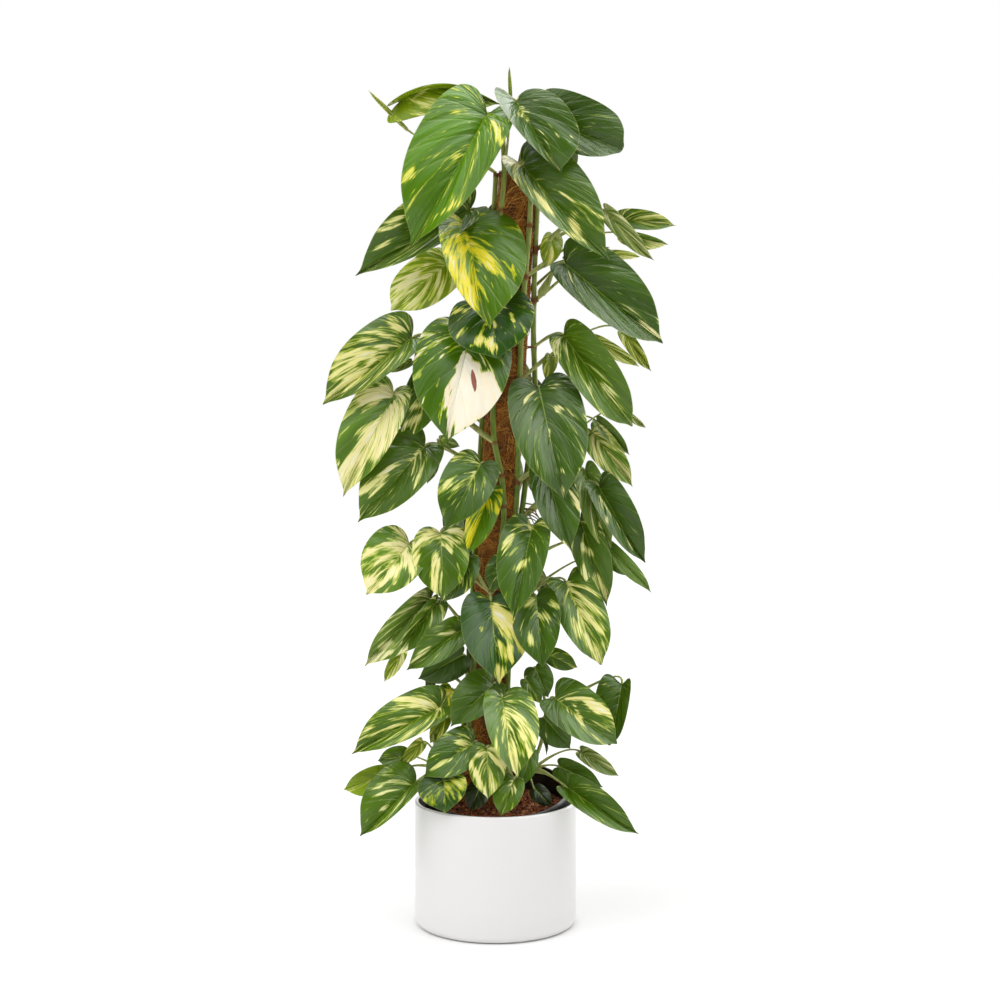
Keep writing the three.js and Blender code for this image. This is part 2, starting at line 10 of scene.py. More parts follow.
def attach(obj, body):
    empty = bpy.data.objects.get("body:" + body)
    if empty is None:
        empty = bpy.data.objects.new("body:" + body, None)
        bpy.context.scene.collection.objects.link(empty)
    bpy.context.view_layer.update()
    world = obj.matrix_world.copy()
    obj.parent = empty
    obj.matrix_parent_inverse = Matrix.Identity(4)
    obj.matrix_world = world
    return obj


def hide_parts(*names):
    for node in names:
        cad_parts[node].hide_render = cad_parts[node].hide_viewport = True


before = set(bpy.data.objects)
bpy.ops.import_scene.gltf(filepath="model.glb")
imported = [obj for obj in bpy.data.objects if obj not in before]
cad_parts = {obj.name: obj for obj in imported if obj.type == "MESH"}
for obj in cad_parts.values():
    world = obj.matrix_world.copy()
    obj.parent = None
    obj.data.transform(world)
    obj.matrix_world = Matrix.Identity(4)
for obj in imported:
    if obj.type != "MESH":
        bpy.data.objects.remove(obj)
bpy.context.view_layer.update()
print("frame loaded:", ", ".join(sorted(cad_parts)))

metresPerMm = 0.001
sharpFrom = 55.0  # degrees between two faces from which the edge between them shows as sharp

# Leaves are laid out on an upright board through the pole, as an eye in front of the plant sees them.
sight = {
    "eye": np.array([7.65, -3000.0, 885.0]),
    "boardMiddle": np.array([7.65, 0.0, 725.6]),
    "boardFoot": 15.0,  # height of the board's lower edge, where its z starts, over the floor
    "boardWidth": 1700.0,
}


def unit(vectors):
    return vectors / np.linalg.norm(vectors, axis=-1, keepdims=True)


# a smooth rise from 0 at low to 1 at high
def smoothRise(low, high, values):
    t = np.clip((values - low) / (high - low), 0, 1)
    return t * t * (3 - 2 * t)


# Two triangles for each cell of a grid, as the row and column of each corner; they face column x row.
def gridCorners(rows, columns):
    r, c = np.meshgrid(np.arange(rows - 1), np.arange(columns - 1), indexing="ij")
    r, c = r.ravel()[:, None], c.ravel()[:, None]
    row = np.concatenate([r + [0, 0, 1], r + [0, 1, 1]])
    column = np.concatenate([c + [0, 1, 1], c + [0, 1, 0]])
    return row, column


# Corners that lie at one point become one vertex, and triangles that this flattens go.
def weld(points, triangles, step=1e-3):
    keys = np.round(points / step).astype(np.int64)
    _, first, back = np.unique(keys, axis=0, return_index=True, return_inverse=True)
    joined = back.reshape(-1)[triangles]
    a, b, c = joined.T
    whole = (a != b) & (b != c) & (c != a)
    return points[first], joined[whole], whole


# A profile of (radius, height) carried once round +Z, from the middle of the underside outwards.
def turned(profile, segments):
    profile = np.asarray(profile, float)
    turn = np.linspace(0, 2 * np.pi, segments + 1)[:-1]
    radius, height = profile[:, :1], profile[:, 1:]
    points = np.stack([radius * np.cos(turn), radius * np.sin(turn), height + 0 * turn], -1)
    row, column = gridCorners(len(profile), segments + 1)
    return weld(points.reshape(-1, 3), row * segments + column % segments)[:2]


# points on an arc about a centre, between two angles in degrees from +X towards +Z
def arc(centreX, centreZ, radius, start, end, steps):
    turn = np.radians(np.linspace(start, end, steps + 1))
    return [(centreX + radius * math.cos(t), centreZ + radius * math.sin(t)) for t in turn]


# points evenly spaced along straight runs between the corners of a profile
def evenly(corners, step):
    corners = np.asarray(corners, float)
    runs = [np.linspace(a, b, max(2, int(np.hypot(*(b - a)) / step) + 1))[:-1]
            for a, b in zip(corners[:-1], corners[1:])]
    return [tuple(p) for run in runs for p in run] + [tuple(corners[-1])]


# Tubes along n paths of k points. Each ring stands square to its path, its first point towards lead;
# wide stretches it that way. A ring point is the path + radius (cos turn x lead + sin turn x third).
def tubes(paths, radii, sides, lead, wide=1.0):
    along = unit(np.gradient(paths, axis=1))
    across = unit(lead - (lead * along).sum(-1, keepdims=True) * along)
    third = np.cross(along, across)
    turn = 2 * np.pi * np.arange(sides) / sides
    stretch = np.broadcast_to(wide, paths.shape[:2])[:, :, None, None]
    ring = np.cos(turn)[:, None] * across[:, :, None] * stretch + np.sin(turn)[:, None] * third[:, :, None]
    points = paths[:, :, None] + np.broadcast_to(radii, paths.shape[:2])[:, :, None, None] * ring
    count, steps = paths.shape[:2]
    row, column = gridCorners(steps, sides + 1)
    one = row * sides + column % sides
    fan = np.stack([np.zeros(sides - 2, int), np.arange(1, sides - 1), np.arange(2, sides)], -1)
    one = np.concatenate([one, fan[:, ::-1], fan + (steps - 1) * sides])
    triangles = one[None] + np.arange(count)[:, None, None] * steps * sides
    return points.reshape(-1, 3), triangles.reshape(-1, 3)


# Several (points, triangles, paint) become one; paint holds a number, or one a vertex, under each key.
def together(parts):
    starts = np.cumsum([0] + [len(points) for points, _, _ in parts[:-1]])
    points = np.concatenate([p for p, _, _ in parts])
    triangles = np.concatenate([t + start for (_, t, _), start in zip(parts, starts)])
    paint = {key: np.concatenate([np.broadcast_to(w[key], len(p)) for p, _, w in parts])
             for key in parts[0][2]}
    return points, triangles, paint


# For places along a list of points held at both ends by one more: the point before each place, the two
# that it lies between, the one after, and how far it is from the second to the third.
def aroundEach(held, places):
    k = np.minimum(places.astype(int), len(held) - 4)
    return held[k], held[k + 1], held[k + 2], held[k + 3], (places - k)[:, None]


# A smooth curve through points, cut into equal steps: a Catmull-Rom curve whose pull between two
# points goes with the square root of their distance.
def smoothCurve(points, steps):
    points = np.asarray(points, float)
    held = np.vstack([2 * points[0] - points[1], points, 2 * points[-1] - points[-2]])
    p0, p1, p2, p3, t = aroundEach(held, np.linspace(0, len(points) - 1, steps + 1))
    d0, d1, d2 = [np.maximum(((b - a) ** 2).sum(-1, keepdims=True) ** 0.25, 1e-4)
                  for a, b in ((p0, p1), (p1, p2), (p2, p3))]
    leave = ((p1 - p0) / d0 - (p2 - p0) / (d0 + d1) + (p2 - p1) / d1) * d1
    reach = ((p2 - p1) / d1 - (p3 - p1) / (d1 + d2) + (p3 - p2) / d2) * d1
    square = -3 * p1 + 3 * p2 - 2 * leave - reach
    cube = 2 * p1 - 2 * p2 + leave + reach
    return p1 + leave * t + square * t ** 2 + cube * t ** 3


# Puts a surface into a mesh under the root body and hides its frame part. paint goes onto vertices or
# corners, and maps are UV maps.
def makePiece(name, points, triangles, material, node, paint=None, maps=None):
    mesh = bpy.data.meshes.new(name)
    mesh.from_pydata(points * metresPerMm, [], triangles)
    mesh.polygons.foreach_set("use_smooth", np.ones(len(triangles), bool))
    for key, values in (paint or {}).items():
        domain = "POINT" if len(values) == len(points) else "CORNER"
        kind, field = ("FLOAT_VECTOR", "vector") if values.ndim == 2 else ("FLOAT", "value")
        layer = mesh.attributes.new(key, kind, domain)
        layer.data.foreach_set(field, values.astype(np.float32).ravel())
    for key, places in (maps or {}).items():
        layer = mesh.uv_layers.new(name=key)
        layer.uv.foreach_set("vector", places.astype(np.float32).ravel())
    mesh.materials.append(material)
    mesh.set_sharp_from_angle(angle=math.radians(sharpFrom))
    piece = bpy.data.objects.new(name, mesh)
    bpy.context.scene.collection.objects.link(piece)
    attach(piece, "root")
    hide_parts(node)


# the linear colour of an sRGB hex value
def linear(hexColour):
    parts = np.array([int(hexColour[i:i + 2], 16) for i in (1, 3, 5)]) / 255
    light = np.where(parts <= 0.04045, parts / 12.92, ((parts + 0.055) / 1.055) ** 2.4)
    return (*light, 1.0)


# Adds a node with its settings and gives the output asked for. An input takes a value, or an output
# of another node, which is linked.
def addNode(tree, kind, inputs=None, out=0, **settings):
    node = tree.nodes.new("ShaderNode" + kind)
    for key, value in settings.items():
        setattr(node, key, value)
    for key, value in (inputs or {}).items():
        if isinstance(value, bpy.types.NodeSocket):
            tree.links.new(value, node.inputs[key])
        else:
            node.inputs[key].default_value = value
    return node.outputs[out]


# a material, its node tree and the sockets of its shader
def newMaterial(name, ior):
    material = bpy.data.materials.new(name)
    material.use_nodes = True
    tree = material.node_tree
    shader = tree.nodes["Principled BSDF"]
    shader.inputs["IOR"].default_value = ior
    return material, tree, shader.inputs


# links or sets what every finish has: its colour, its roughness and a relief of a height field
def dress(tree, surface, colour, roughness, height, depthMm):
    tree.links.new(colour, surface["Base Color"])
    if isinstance(roughness, bpy.types.NodeSocket):
        tree.links.new(roughness, surface["Roughness"])
    else:
        surface["Roughness"].default_value = roughness
    bump = addNode(tree, "Bump", {"Distance": depthMm * metresPerMm, "Height": height})
    tree.links.new(bump, surface["Normal"])


ceramicPot = {
    "radius": 138.5, "height": 212.0, "wall": 7.0, "floor": 9.0, "segments": 160,
    "foot": 12.0, "lip": 3.0, "innerLip": 2.4, "innerFoot": 8.0,  # how round its edges are
    "thinLip": 3.5, "thinFoot": 6.0,  # how far from its ends the glaze runs thin
    "glaze": "#edebea", "thin": "#e2dfdb", "roughness": 0.3, "coat": 0.25, "coatRoughness": 0.22,
}


# Stoneware under a satin white glaze, dipped and fired: even white with a very slight ripple, a soft
# broad gloss, and a trace of the warmer body where the glaze runs thin on the lip and foot.
def satinWhiteGlaze():
    pot = ceramicPot
    material, tree, surface = newMaterial("satinWhiteGlaze", 1.5)
    place = addNode(tree, "TexCoord", out="Object")
    height = addNode(tree, "SeparateXYZ", {0: place}, out=2)
    cloud = addNode(tree, "TexNoise", {"Vector": place, "Scale": 9.0, "Detail": 3.0})  # 110 mm clouds
    lip = addNode(tree, "MapRange", {0: height, 1: (pot["height"] - pot["thinLip"]) * metresPerMm,
                                     2: pot["height"] * metresPerMm}, interpolation_type="SMOOTHSTEP")
    foot = addNode(tree, "MapRange", {0: height, 1: pot["thinFoot"] * metresPerMm, 2: 0.0})
    ends = addNode(tree, "Math", {0: lip, 1: foot}, operation="MAXIMUM")
    thin = addNode(tree, "Math", {0: ends, 1: cloud}, operation="MULTIPLY")
    colour = addNode(tree, "Mix", {0: thin, 6: linear(pot["glaze"]), 7: linear(pot["thin"])}, out=2,
                     data_type="RGBA")
    rough = addNode(tree, "MapRange", {0: cloud, 1: 0.2, 2: 0.9, 3: pot["roughness"] - 0.03,
                                       4: pot["roughness"] + 0.05})
    ripple = addNode(tree, "TexNoise", {"Vector": place, "Scale": 160.0, "Detail": 2.0})  # 6 mm ripples
    dress(tree, surface, colour, rough, ripple, 0.05)
    surface["Coat Weight"].default_value = pot["coat"]
    surface["Coat Roughness"].default_value = pot["coatRoughness"]
    return material


# One turned profile: out along the underside, round the foot, up the wall, over the lip, down the
# inside and back to the middle of its floor.
def makeCeramicPot():
    pot = ceramicPot
    outer, high, floor = pot["radius"], pot["height"], pot["floor"]
    inner = outer - pot["wall"]
    foot, lip, innerLip, innerFoot = [pot[key] for key in ("foot", "lip", "innerLip", "innerFoot")]
    profile = evenly([(0, 0), (outer - foot, 0)], 30)
    profile += arc(outer - foot, foot, foot, -90, 0, 12)
    profile += evenly([(outer, foot), (outer, high - lip)], 25)[1:-1]
    profile += arc(outer - lip, high - lip, lip, 0, 90, 8)
    profile += arc(inner + innerLip, high - innerLip, innerLip, 90, 180, 6)
    profile += evenly([(inner, high - 4), (inner, floor + innerFoot)], 25)
    profile += arc(inner - innerFoot, floor + innerFoot, innerFoot, 0, -90, 6)
    profile += evenly([(inner - innerFoot, floor), (0, floor)], 30)[1:]
    points, triangles = turned(profile, pot["segments"])
    makePiece("ceramicPot", points, triangles, satinWhiteGlaze(), "ceramic_pot")
    print("ceramic pot made:", len(triangles), "triangles")


nurseryPot = {
    "foot": 104.0, "mouth": 123.0, "base": 9.35, "height": 232.0, "wall": 1.6, "floor": 2.0,
    "footRound": 4.0, "lipOut": 3.0, "lipDrop": 9.0, "lipRound": 2.2, "innerLip": 1.2,
    "pressed": 0.2, "segments": 112, "plastic": "#17181a", "dust": "#4a3a2e",
}


# The soft pot is pressed down at the front, where y is negative: a point moves up by pressed x its y x
# its share of the height.
def pressDown(points):
    pot = nurseryPot
    share = np.maximum(0, points[:, 2] - pot["base"]) / (pot["height"] - pot["base"])
    lowered = points.copy()
    lowered[:, 2] += pot["pressed"] * points[:, 1] * share
    return lowered


# Recycled polypropylene, thermoformed: black with a dull satin skin, faint drawn lines up the wall, and
# smears of dry soil dust.
def blackNurseryPlastic():
    pot = nurseryPot
    material, tree, surface = newMaterial("blackNurseryPlastic", 1.49)
    place = addNode(tree, "TexCoord", out="Object")
    stretched = addNode(tree, "Mapping", {"Vector": place, "Scale": (1.0, 1.0, 0.12)})
    lines = addNode(tree, "TexNoise", {"Vector": stretched, "Scale": 420.0, "Detail": 2.0})  # 2.4 mm apart
    smears = addNode(tree, "TexNoise", {"Vector": place, "Scale": 45.0, "Detail": 4.0})  # 22 mm wide
    dusty = addNode(tree, "MapRange", {0: smears, 1: 0.5, 2: 0.72, 4: 0.45})
    colour = addNode(tree, "Mix", {0: dusty, 6: linear(pot["plastic"]), 7: linear(pot["dust"])}, out=2,
                     data_type="RGBA")
    rough = addNode(tree, "MapRange", {0: smears, 1: 0.3, 2: 0.7, 3: 0.42, 4: 0.6})
    dress(tree, surface, colour, rough, lines, 0.12)
    return material


# One turned profile, as the ceramic pot's: its wall leans out and ends in a rolled lip that hangs down.
def makeNurseryPot():
    pot = nurseryPot
    base, high, foot, mouth = pot["base"], pot["height"], pot["foot"], pot["mouth"]
    footRound, lipRound, innerLip = pot["footRound"], pot["lipRound"], pot["innerLip"]
    outer, lipFoot, floor = mouth + pot["lipOut"], high - pot["lipDrop"], base + pot["floor"]
    innerMouth, innerFoot = mouth - pot["wall"], foot - pot["wall"]
    profile = evenly([(0, base), (foot - footRound, base)], 30)
    profile += arc(foot - footRound, base + footRound, footRound, -90, 0, 4)
    profile += evenly([(foot, base + footRound), (mouth, lipFoot - 1)], 12)[1:]
    profile += [(mouth + 0.4, lipFoot), (outer - 0.5, lipFoot), (outer, lipFoot + 0.5), (outer, high - 3)]
    profile += arc(outer - lipRound, high - lipRound, lipRound, 0, 90, 5)
    profile += arc(innerMouth + innerLip, high - innerLip, innerLip, 90, 180, 3)
    profile += evenly([(innerMouth, high - 3), (innerFoot, floor + 2)], 12)
    profile += evenly([(innerFoot - 2, floor), (0, floor)], 30)
    points, triangles = turned(profile, pot["segments"])
    makePiece("nurseryPot", pressDown(points), triangles, blackNurseryPlastic(),
              "nursery_pot")
    print("nursery pot made:", len(triangles), "triangles")


poleShape = {
    "radius": 32.0, "footX": -23.0, "footZ": 40.0, "atZ": 215.0, "slope": 0.0575, "top": 1283.0,
    "core": 31.0, "rings": 180, "segments": 72,
    "strands": 4300, "length": (22, 75), "thin": 0.34, "thick": 0.62, "seed": 5,
    "lift": (0, 0.7),  # how far the middle of a strand stands off
    "loose": 0.07, "looseLift": (1.5, 4.5),  # the share that has sprung loose, and how far off it stands
    "dark": "#2e1604",  # then each lighter tint, the shades where it starts and is full, and how strong
    "tints": (("#b8701c", 0.8, 1.5, 1.0), ("#f6be60", 1.45, 1.9, 0.85)),
}
pottingMix = {
    "level": 205.0, "swell": 4.0, "rings": 46, "segments": 132,
    "play": 0.8, "margin": 9.0,  # the mix clear of the pot's wall, and the chips clear of its edge
    "chips": 1500, "chipSize": ((4, 13), (3, 8), (1.4, 4)), "seed": 11,
    "dark": "#30190e",  # then each lighter tint, the shade it starts from and the shade where it is full
    "tints": (("#7c4322", 0.35, 0.95), ("#a25a30", 0.85, 1.35), ("#c8925e", 1.3, 1.6)),
}


# the middle of the leaning pole at heights z
def poleMiddle(z):
    z = np.asarray(z, float)
    return np.stack([poleShape["footX"] + (z - poleShape["atZ"]) * poleShape["slope"], 0 * z, z], -1)


# a point near the pole: height, turn about it from the front in degrees, and distance from its middle
def aroundPole(z, turn, out):
    turn = np.radians(turn)
    flat = np.stack([np.sin(turn), -np.cos(turn), 0 * turn], -1)
    return poleMiddle(z) + np.asarray(out, float)[..., None] * flat


# the top of the mix: its level + one broad swell + two finer sets of lumps, all sines of x and y
def soilHeight(x, y):
    smooth = pottingMix["swell"] * np.sin(x / 17) * np.cos(y / 21)
    lumps = 1.1 * np.sin(x / 4.3 + 1) * np.sin(y / 5.1) + 0.8 * np.sin(x / 2.7 - y / 3.3)
    return pottingMix["level"] + smooth + lumps


# Composted pine bark and coir chips: rough matt browns from nearly black to reddish, each chip its own
# shade, the odd one pale where it is broken.
def barkChips():
    material, tree, surface = newMaterial("compostedBark", 1.45)
    place = addNode(tree, "TexCoord", out="Object")
    shade = addNode(tree, "Attribute", out="Fac", attribute_name="shade")
    grain = addNode(tree, "TexNoise", {"Vector": place, "Scale": 330.0, "Detail": 4.0})  # 3 mm crumbs
    mixed = addNode(tree, "Math", {0: shade, 1: grain}, operation="ADD")
    colour = linear(pottingMix["dark"])
    for tint, start, full in pottingMix["tints"]:
        share = addNode(tree, "MapRange", {0: mixed, 1: start, 2: full})
        colour = addNode(tree, "Mix", {0: share, 6: colour, 7: linear(tint)}, out=2, data_type="RGBA")
    dress(tree, surface, colour, 0.88, grain, 0.9)
    return material


# The mix: a disc of rings whose top follows soilHeight, closed below by the pot's own taper, with
# loose chips, each a box of its own size turned at random and half sunk into the top.
def makePottingMix():
    pot, mix = nurseryPot, pottingMix
    inset = pot["wall"] + mix["play"]
    low = pot["base"] + pot["floor"] + 0.5
    rise = (pot["mouth"] - pot["foot"]) / (pot["height"] - pot["lipDrop"] - pot["base"])
    rim = pot["foot"] + rise * (mix["level"] - pot["base"]) - inset - 0.4
    shares = np.linspace(1, 0, mix["rings"])
    profile = [(0, low), (pot["foot"] - inset, low), *[(rim * share, mix["level"]) for share in shares]]
    points, triangles = turned(profile, mix["segments"])
    top = points[:, 2] > low + 1
    points = pressDown(points)
    points[top, 2] = soilHeight(points[top, 0], points[top, 1])
    parts = [(points, triangles, {"shade": 0.25}), looseChips(rim - mix["margin"])]
    points, triangles, paint = together(parts)
    makePiece("pottingMix", points, triangles, barkChips(), "potting_soil", paint)
    print("potting mix made:", len(triangles), "triangles")


# A chip's corner = its middle + half its size times three square directions, each pulled in at random.
def looseChips(reach):
    mix = pottingMix
    count = mix["chips"]
    random = np.random.default_rng(mix["seed"])
    radius = reach * np.sqrt(random.random(count))
    turn = random.random(count) * 2 * np.pi
    x, y = radius * np.cos(turn), radius * np.sin(turn)
    size = np.stack([random.uniform(low, high, count) for low, high in mix["chipSize"]], -1) / 2
    yaw, tip = random.random(count) * 2 * np.pi, random.normal(0, 0.5, count)
    sideways = np.stack([np.cos(yaw) * np.cos(tip), np.sin(yaw) * np.cos(tip), np.sin(tip)], -1)
    tilts = [random.normal(0, 0.4, count) for _ in range(2)]
    across = unit(np.cross(unit(np.stack([*tilts, np.ones(count)], -1)), sideways))
    upwards = np.cross(sideways, across)
    corners = np.array([[a, b, c] for c in (-1, 1) for b in (-1, 1) for a in (-1, 1)], float)
    local = corners[None] * size[:, None] * random.uniform(0.55, 1.0, (count, 8, 3))
    middle = np.stack([x, y, soilHeight(x, y) + size[:, 2] * 0.6], -1)
    body = (middle[:, None] + local[..., :1] * sideways[:, None] + local[..., 1:2] * across[:, None]
            + local[..., 2:] * upwards[:, None])
    faces = np.array([[0, 2, 3], [0, 3, 1], [4, 5, 7], [4, 7, 6], [0, 1, 5], [0, 5, 4],
                      [2, 6, 7], [2, 7, 3], [0, 4, 6], [0, 6, 2], [1, 3, 7], [1, 7, 5]])
    triangles = (faces[None] + 8 * np.arange(count)[:, None, None]).reshape(-1, 3)
    return body.reshape(-1, 3), triangles, {"shade": np.repeat(random.random(count), 8)}


# Coconut fibre matted round a stiff core: wiry brown strands laid every way, some of them pale and a few
# sprung loose, over a felt painted darker as painted shade in the deep gaps between the strands. Strands
# show 0.7 to 1.2 mm thick, coarser than the real 0.3 mm.
def coirFibre():
    material, tree, surface = newMaterial("mattedCoir", 1.5)
    place = addNode(tree, "TexCoord", out="Object")
    shade = addNode(tree, "Attribute", out="Fac", attribute_name="shade")
    felt = addNode(tree, "TexNoise", {"Vector": place, "Scale": 260.0, "Detail": 5.0,  # 4 mm tangles
                                      "Distortion": 2.5})
    patches = addNode(tree, "TexNoise", {"Vector": place, "Scale": 24.0, "Detail": 2.0})  # 42 mm wide
    mixed = addNode(tree, "Math", {0: felt, 1: patches}, operation="ADD")
    mixed = addNode(tree, "Math", {0: mixed, 1: shade}, operation="ADD")
    colour = linear(poleShape["dark"])
    for tint, start, full, strength in poleShape["tints"]:
        share = addNode(tree, "MapRange", {0: mixed, 1: start, 2: full, 4: strength})
        colour = addNode(tree, "Mix", {0: share, 6: colour, 7: linear(tint)}, out=2, data_type="RGBA")
    dress(tree, surface, colour, 0.82, felt, 1.2)
    return material


# The core is a closed column whose radius swells by a few sines of height and turn, domed at the top.
def poleCore():
    pole = poleShape
    crown = np.linspace(0.3, np.pi / 2, 5)
    shoulder = pole["top"] - 4
    heights = np.concatenate([[pole["footZ"]], np.linspace(pole["footZ"], shoulder, pole["rings"]),
                              shoulder + 4 * np.sin(crown)])
    reach = np.concatenate([[0.0], np.ones(pole["rings"]), np.cos(crown)])
    turn = np.linspace(0, 2 * np.pi, pole["segments"] + 1)[:-1]
    z, a = np.meshgrid(heights, turn, indexing="ij")
    lumps = 0.5 * np.sin(z / 17 + 3 * a) + 0.4 * np.sin(z / 7.3 - 5 * a) + 0.35 * np.sin(z / 3.9 + 9 * a)
    ends = pole["core"] - 4 + 4 * np.minimum(1, (pole["top"] - z) / 6)
    radius = reach[:, None] * (ends + lumps)
    points = poleMiddle(z) + np.stack([radius * np.cos(a), radius * np.sin(a), 0 * a], -1)
    row, column = gridCorners(len(heights), pole["segments"] + 1)
    corners = row * pole["segments"] + column % pole["segments"]
    # painted shade: the core's low shade value keeps it darker than the strands, for the shadow down in the
    # gaps between them
    return *weld(points.reshape(-1, 3), corners)[:2], {"shade": 0.12}


# A strand is laid on the core: turn and height run straight with one bend, and its distance off rises
# in the middle, much more where it has sprung loose.
def coirStrands():
    pole = poleShape
    count, sides = pole["strands"], 3
    random = np.random.default_rng(pole["seed"])
    middle = random.uniform(pole["footZ"] + 150, pole["top"] - 6, count)
    start = random.uniform(0, 360, count)
    lean = random.normal(0, 1.0, count)
    length = random.uniform(*pole["length"], count)
    s = np.linspace(-0.5, 0.5, 7)
    bend = random.normal(0, 0.35, count)[:, None] * (4 * s ** 2)[None]
    z = middle[:, None] + length[:, None] * (np.sin(lean)[:, None] * s + np.cos(lean)[:, None] * bend)
    z = np.minimum(z, pole["top"] - 3 - random.random((count, 1)) * 4)
    sweep = length[:, None] * (np.cos(lean)[:, None] * s - np.sin(lean)[:, None] * bend)
    loose = random.random(count) < pole["loose"]
    lift = np.where(loose, random.uniform(*pole["looseLift"], count), random.uniform(*pole["lift"], count))
    out = pole["core"] + 0.5 + random.uniform(0, 0.5, count)[:, None] + lift[:, None] * np.cos(np.pi * s)
    paths = aroundPole(z, start[:, None] + np.degrees(sweep / pole["core"]), out)
    radii = np.where(random.random(count) < 0.7, pole["thin"], pole["thick"])[:, None]
    points, triangles = tubes(paths, radii * (1 - 0.5 * (2 * s) ** 4), sides, unit(paths - poleMiddle(z)))
    return points, triangles, {"shade": np.repeat(random.normal(0.55, 0.28, count), sides * len(s))}


def makePole():
    points, triangles, paint = together([poleCore(), coirStrands()])
    makePiece("coirPole", points, triangles, coirFibre(), "coir_pole", paint)
    print("coir pole made:", len(triangles), "triangles")


makeCeramicPot()
makeNurseryPot()
makePottingMix()
makePole()


stemShape = {
    "radius": 4.6, "gap": 0.5, "sides": 12,
    "strideUp": 75.0, "finer": 8,  # height from joint to joint, and steps of the tube between joints
    "thicker": 0.02, "swell": 0.14, "slim": 0.1,  # shares of the radius: all along, at joints, off the top
    "slimAbove": (900, 1330), "paleAbove": (800, 1250), "brownBelow": (420, 200),  # heights of the changes
    "shootSteps": 40, "stalkSides": 10, "stalkSteps": 17, "stalkRadius": 1.2, "stalkGrowth": 0.0052,
    "springDrop": 22.0, "springSlope": 0.3, "springFar": 0.6,  # where a stalk springs from
    "stalkPale": (0.62, 0.42), "paleUpTo": 60.0,  # how pale it is to the left of that x, and past it
    "sheath": 1.8, "sheathFrom": 220.0,  # how much wider its sheath is, on a leaf of that length or more
    "stalkOut": 0.3, "stalkUp": 0.22,  # how it leaves the stem, as shares of its reach
    "stalkBehind": 0.28, "stalkUnder": 0.1,  # from how far behind the leaf and under its face it comes in
    "roots": 3, "rootSwing": (25, 75), "rootRise": 16.0, "rootRadius": 1.15, "rootSides": 6, "rootSteps": 9,
    "green": "#6b8820", "pale": "#cbc97c", "dark": "#47601a", "brown": "#7a4a22",
}
rootSeeds = {"left": 4, "right": 5, "back": 4}
tubeLead = np.array([1.0, 0, 0.01])  # the direction of a stem's first corner, never along the stem

# A climber's points: height, turn about the pole from the front (right is positive), distance off it.
climbers = {
    "left": [
        [[155, -70, 26], [230, -68, 22], [305, -52, 4], [435, -48, 0], [555, -12, 0], [675, 14, 0],
         [755, 6, 0], [835, -24, 0], [965, -38, 0], [1115, -50, 0], [1265, -38, 0], [1345, -50, 2]],
        [[230, -68, 22], [315, -96, 4], [515, -104, 0], [815, -100, 0], [1065, -96, 0], [1277, -92, 0]],
    ],
    "right": [
        [[155, 55, 26], [230, 56, 22], [315, 62, 5], [495, 58, 0], [635, 66, 0], [755, 84, 6],
         [895, 88, 13], [1015, 78, 5], [1165, 78, 0], [1315, 72, 1]],
        [[230, 56, 22], [315, 30, 6], [435, 26, 0], [575, 34, 0], [715, 52, 0], [875, 40, 0],
         [1035, 34, 0], [1195, 40, 0], [1300, 34, 0]],
    ],
    "back": [
        [[155, 180, 22], [230, 178, 18], [335, 200, 2], [535, 215, 0], [775, 196, 0], [1015, 214, 0],
         [1240, 204, 0]],
        [[230, 178, 18], [335, 140, 3], [535, 136, 0], [775, 152, 0], [1015, 134, 0], [1230, 146, 0]],
    ],
}

# A shoot's points in space, from the foot of its climber.
shoots = {
    "shootLeft": ("left", [[-90, -42, 277], [-104, -40, 320], [-104, -28, 367]]),
    "shootFront": ("right", [[34, -62, 249], [22, -82, 277], [12, -84, 303]]),
    "shootRight": ("right", [[62, -32, 277], [84, -24, 345], [80, -12, 413]]),
}


# Turn and distance follow one smooth curve through a climber's points, cut into even steps.
def climberGuide(points, finer=1):
    steps = math.ceil((points[-1][0] - points[0][0]) / stemShape["strideUp"]) * finer
    return np.maximum(smoothCurve(points, steps), [0, -360, 0])


def alongClimber(guide):
    out = poleShape["radius"] + stemShape["radius"] + stemShape["gap"] + guide[:, 2]
    return aroundPole(guide[:, 0], guide[:, 1], out)


stemPaths = {name: [alongClimber(climberGuide(points)) for points in lists]
             for name, lists in climbers.items()}
for name, (source, points) in shoots.items():
    foot = alongClimber(np.array(climbers[source][0][1:2], float))
    stemPaths[name] = [smoothCurve(np.vstack([foot, points]), 4)]


# The stem's point that a leaf's stalk springs from: a little under the leaf, nearer for a near leaf.
def springPoint(stemName, base):
    points = np.concatenate([path[1:] for path in stemPaths[stemName]])
    flat = np.hypot(points[:, 0] - base[0], points[:, 1] - base[1])
    under = base[2] - points[:, 2] - stemShape["springDrop"] - stemShape["springSlope"] * flat
    cost = np.abs(under) + stemShape["springFar"] * flat
    return points[np.argmin(cost)]


# A leaf's measures: x, arch, dent, quilting and tipBend are shares of its length; y, fold, droop, belly and
# wave of its half width; thickness, groove and grooveWide are millimetres. edge is the half outline from
# the stalk round the lobe to the tip. grids: from that length up, rows round the edge and columns out.
leafShape = {
    "edge": np.array([[0, 0], [-.07, .15], [-.115, .4], [-.08, .7], [.07, .93], [.28, 1], [.5, .94],
                      [.7, .72], [.85, .365], [.935, .1], [1, 0]]),
    "ribStart": 0.26, "ribPower": 2.2, "arch": 0.08, "fold": 0.8, "droop": 0.1, "belly": 0.06,
    "wave": 0.075, "dent": 0.026, "veins": 10, "quilting": 0.004, "tipBend": 0.03,
    "curl": ((-0.5, -1.0), (3.0, 1.0)),  # least and most bend of the tip, down and aside
    "thickness": 0.7, "groove": 0.9, "grooveWide": 2.6,
    "grids": ((140, 64, 18), (80, 44, 12), (0, 24, 7)),
}

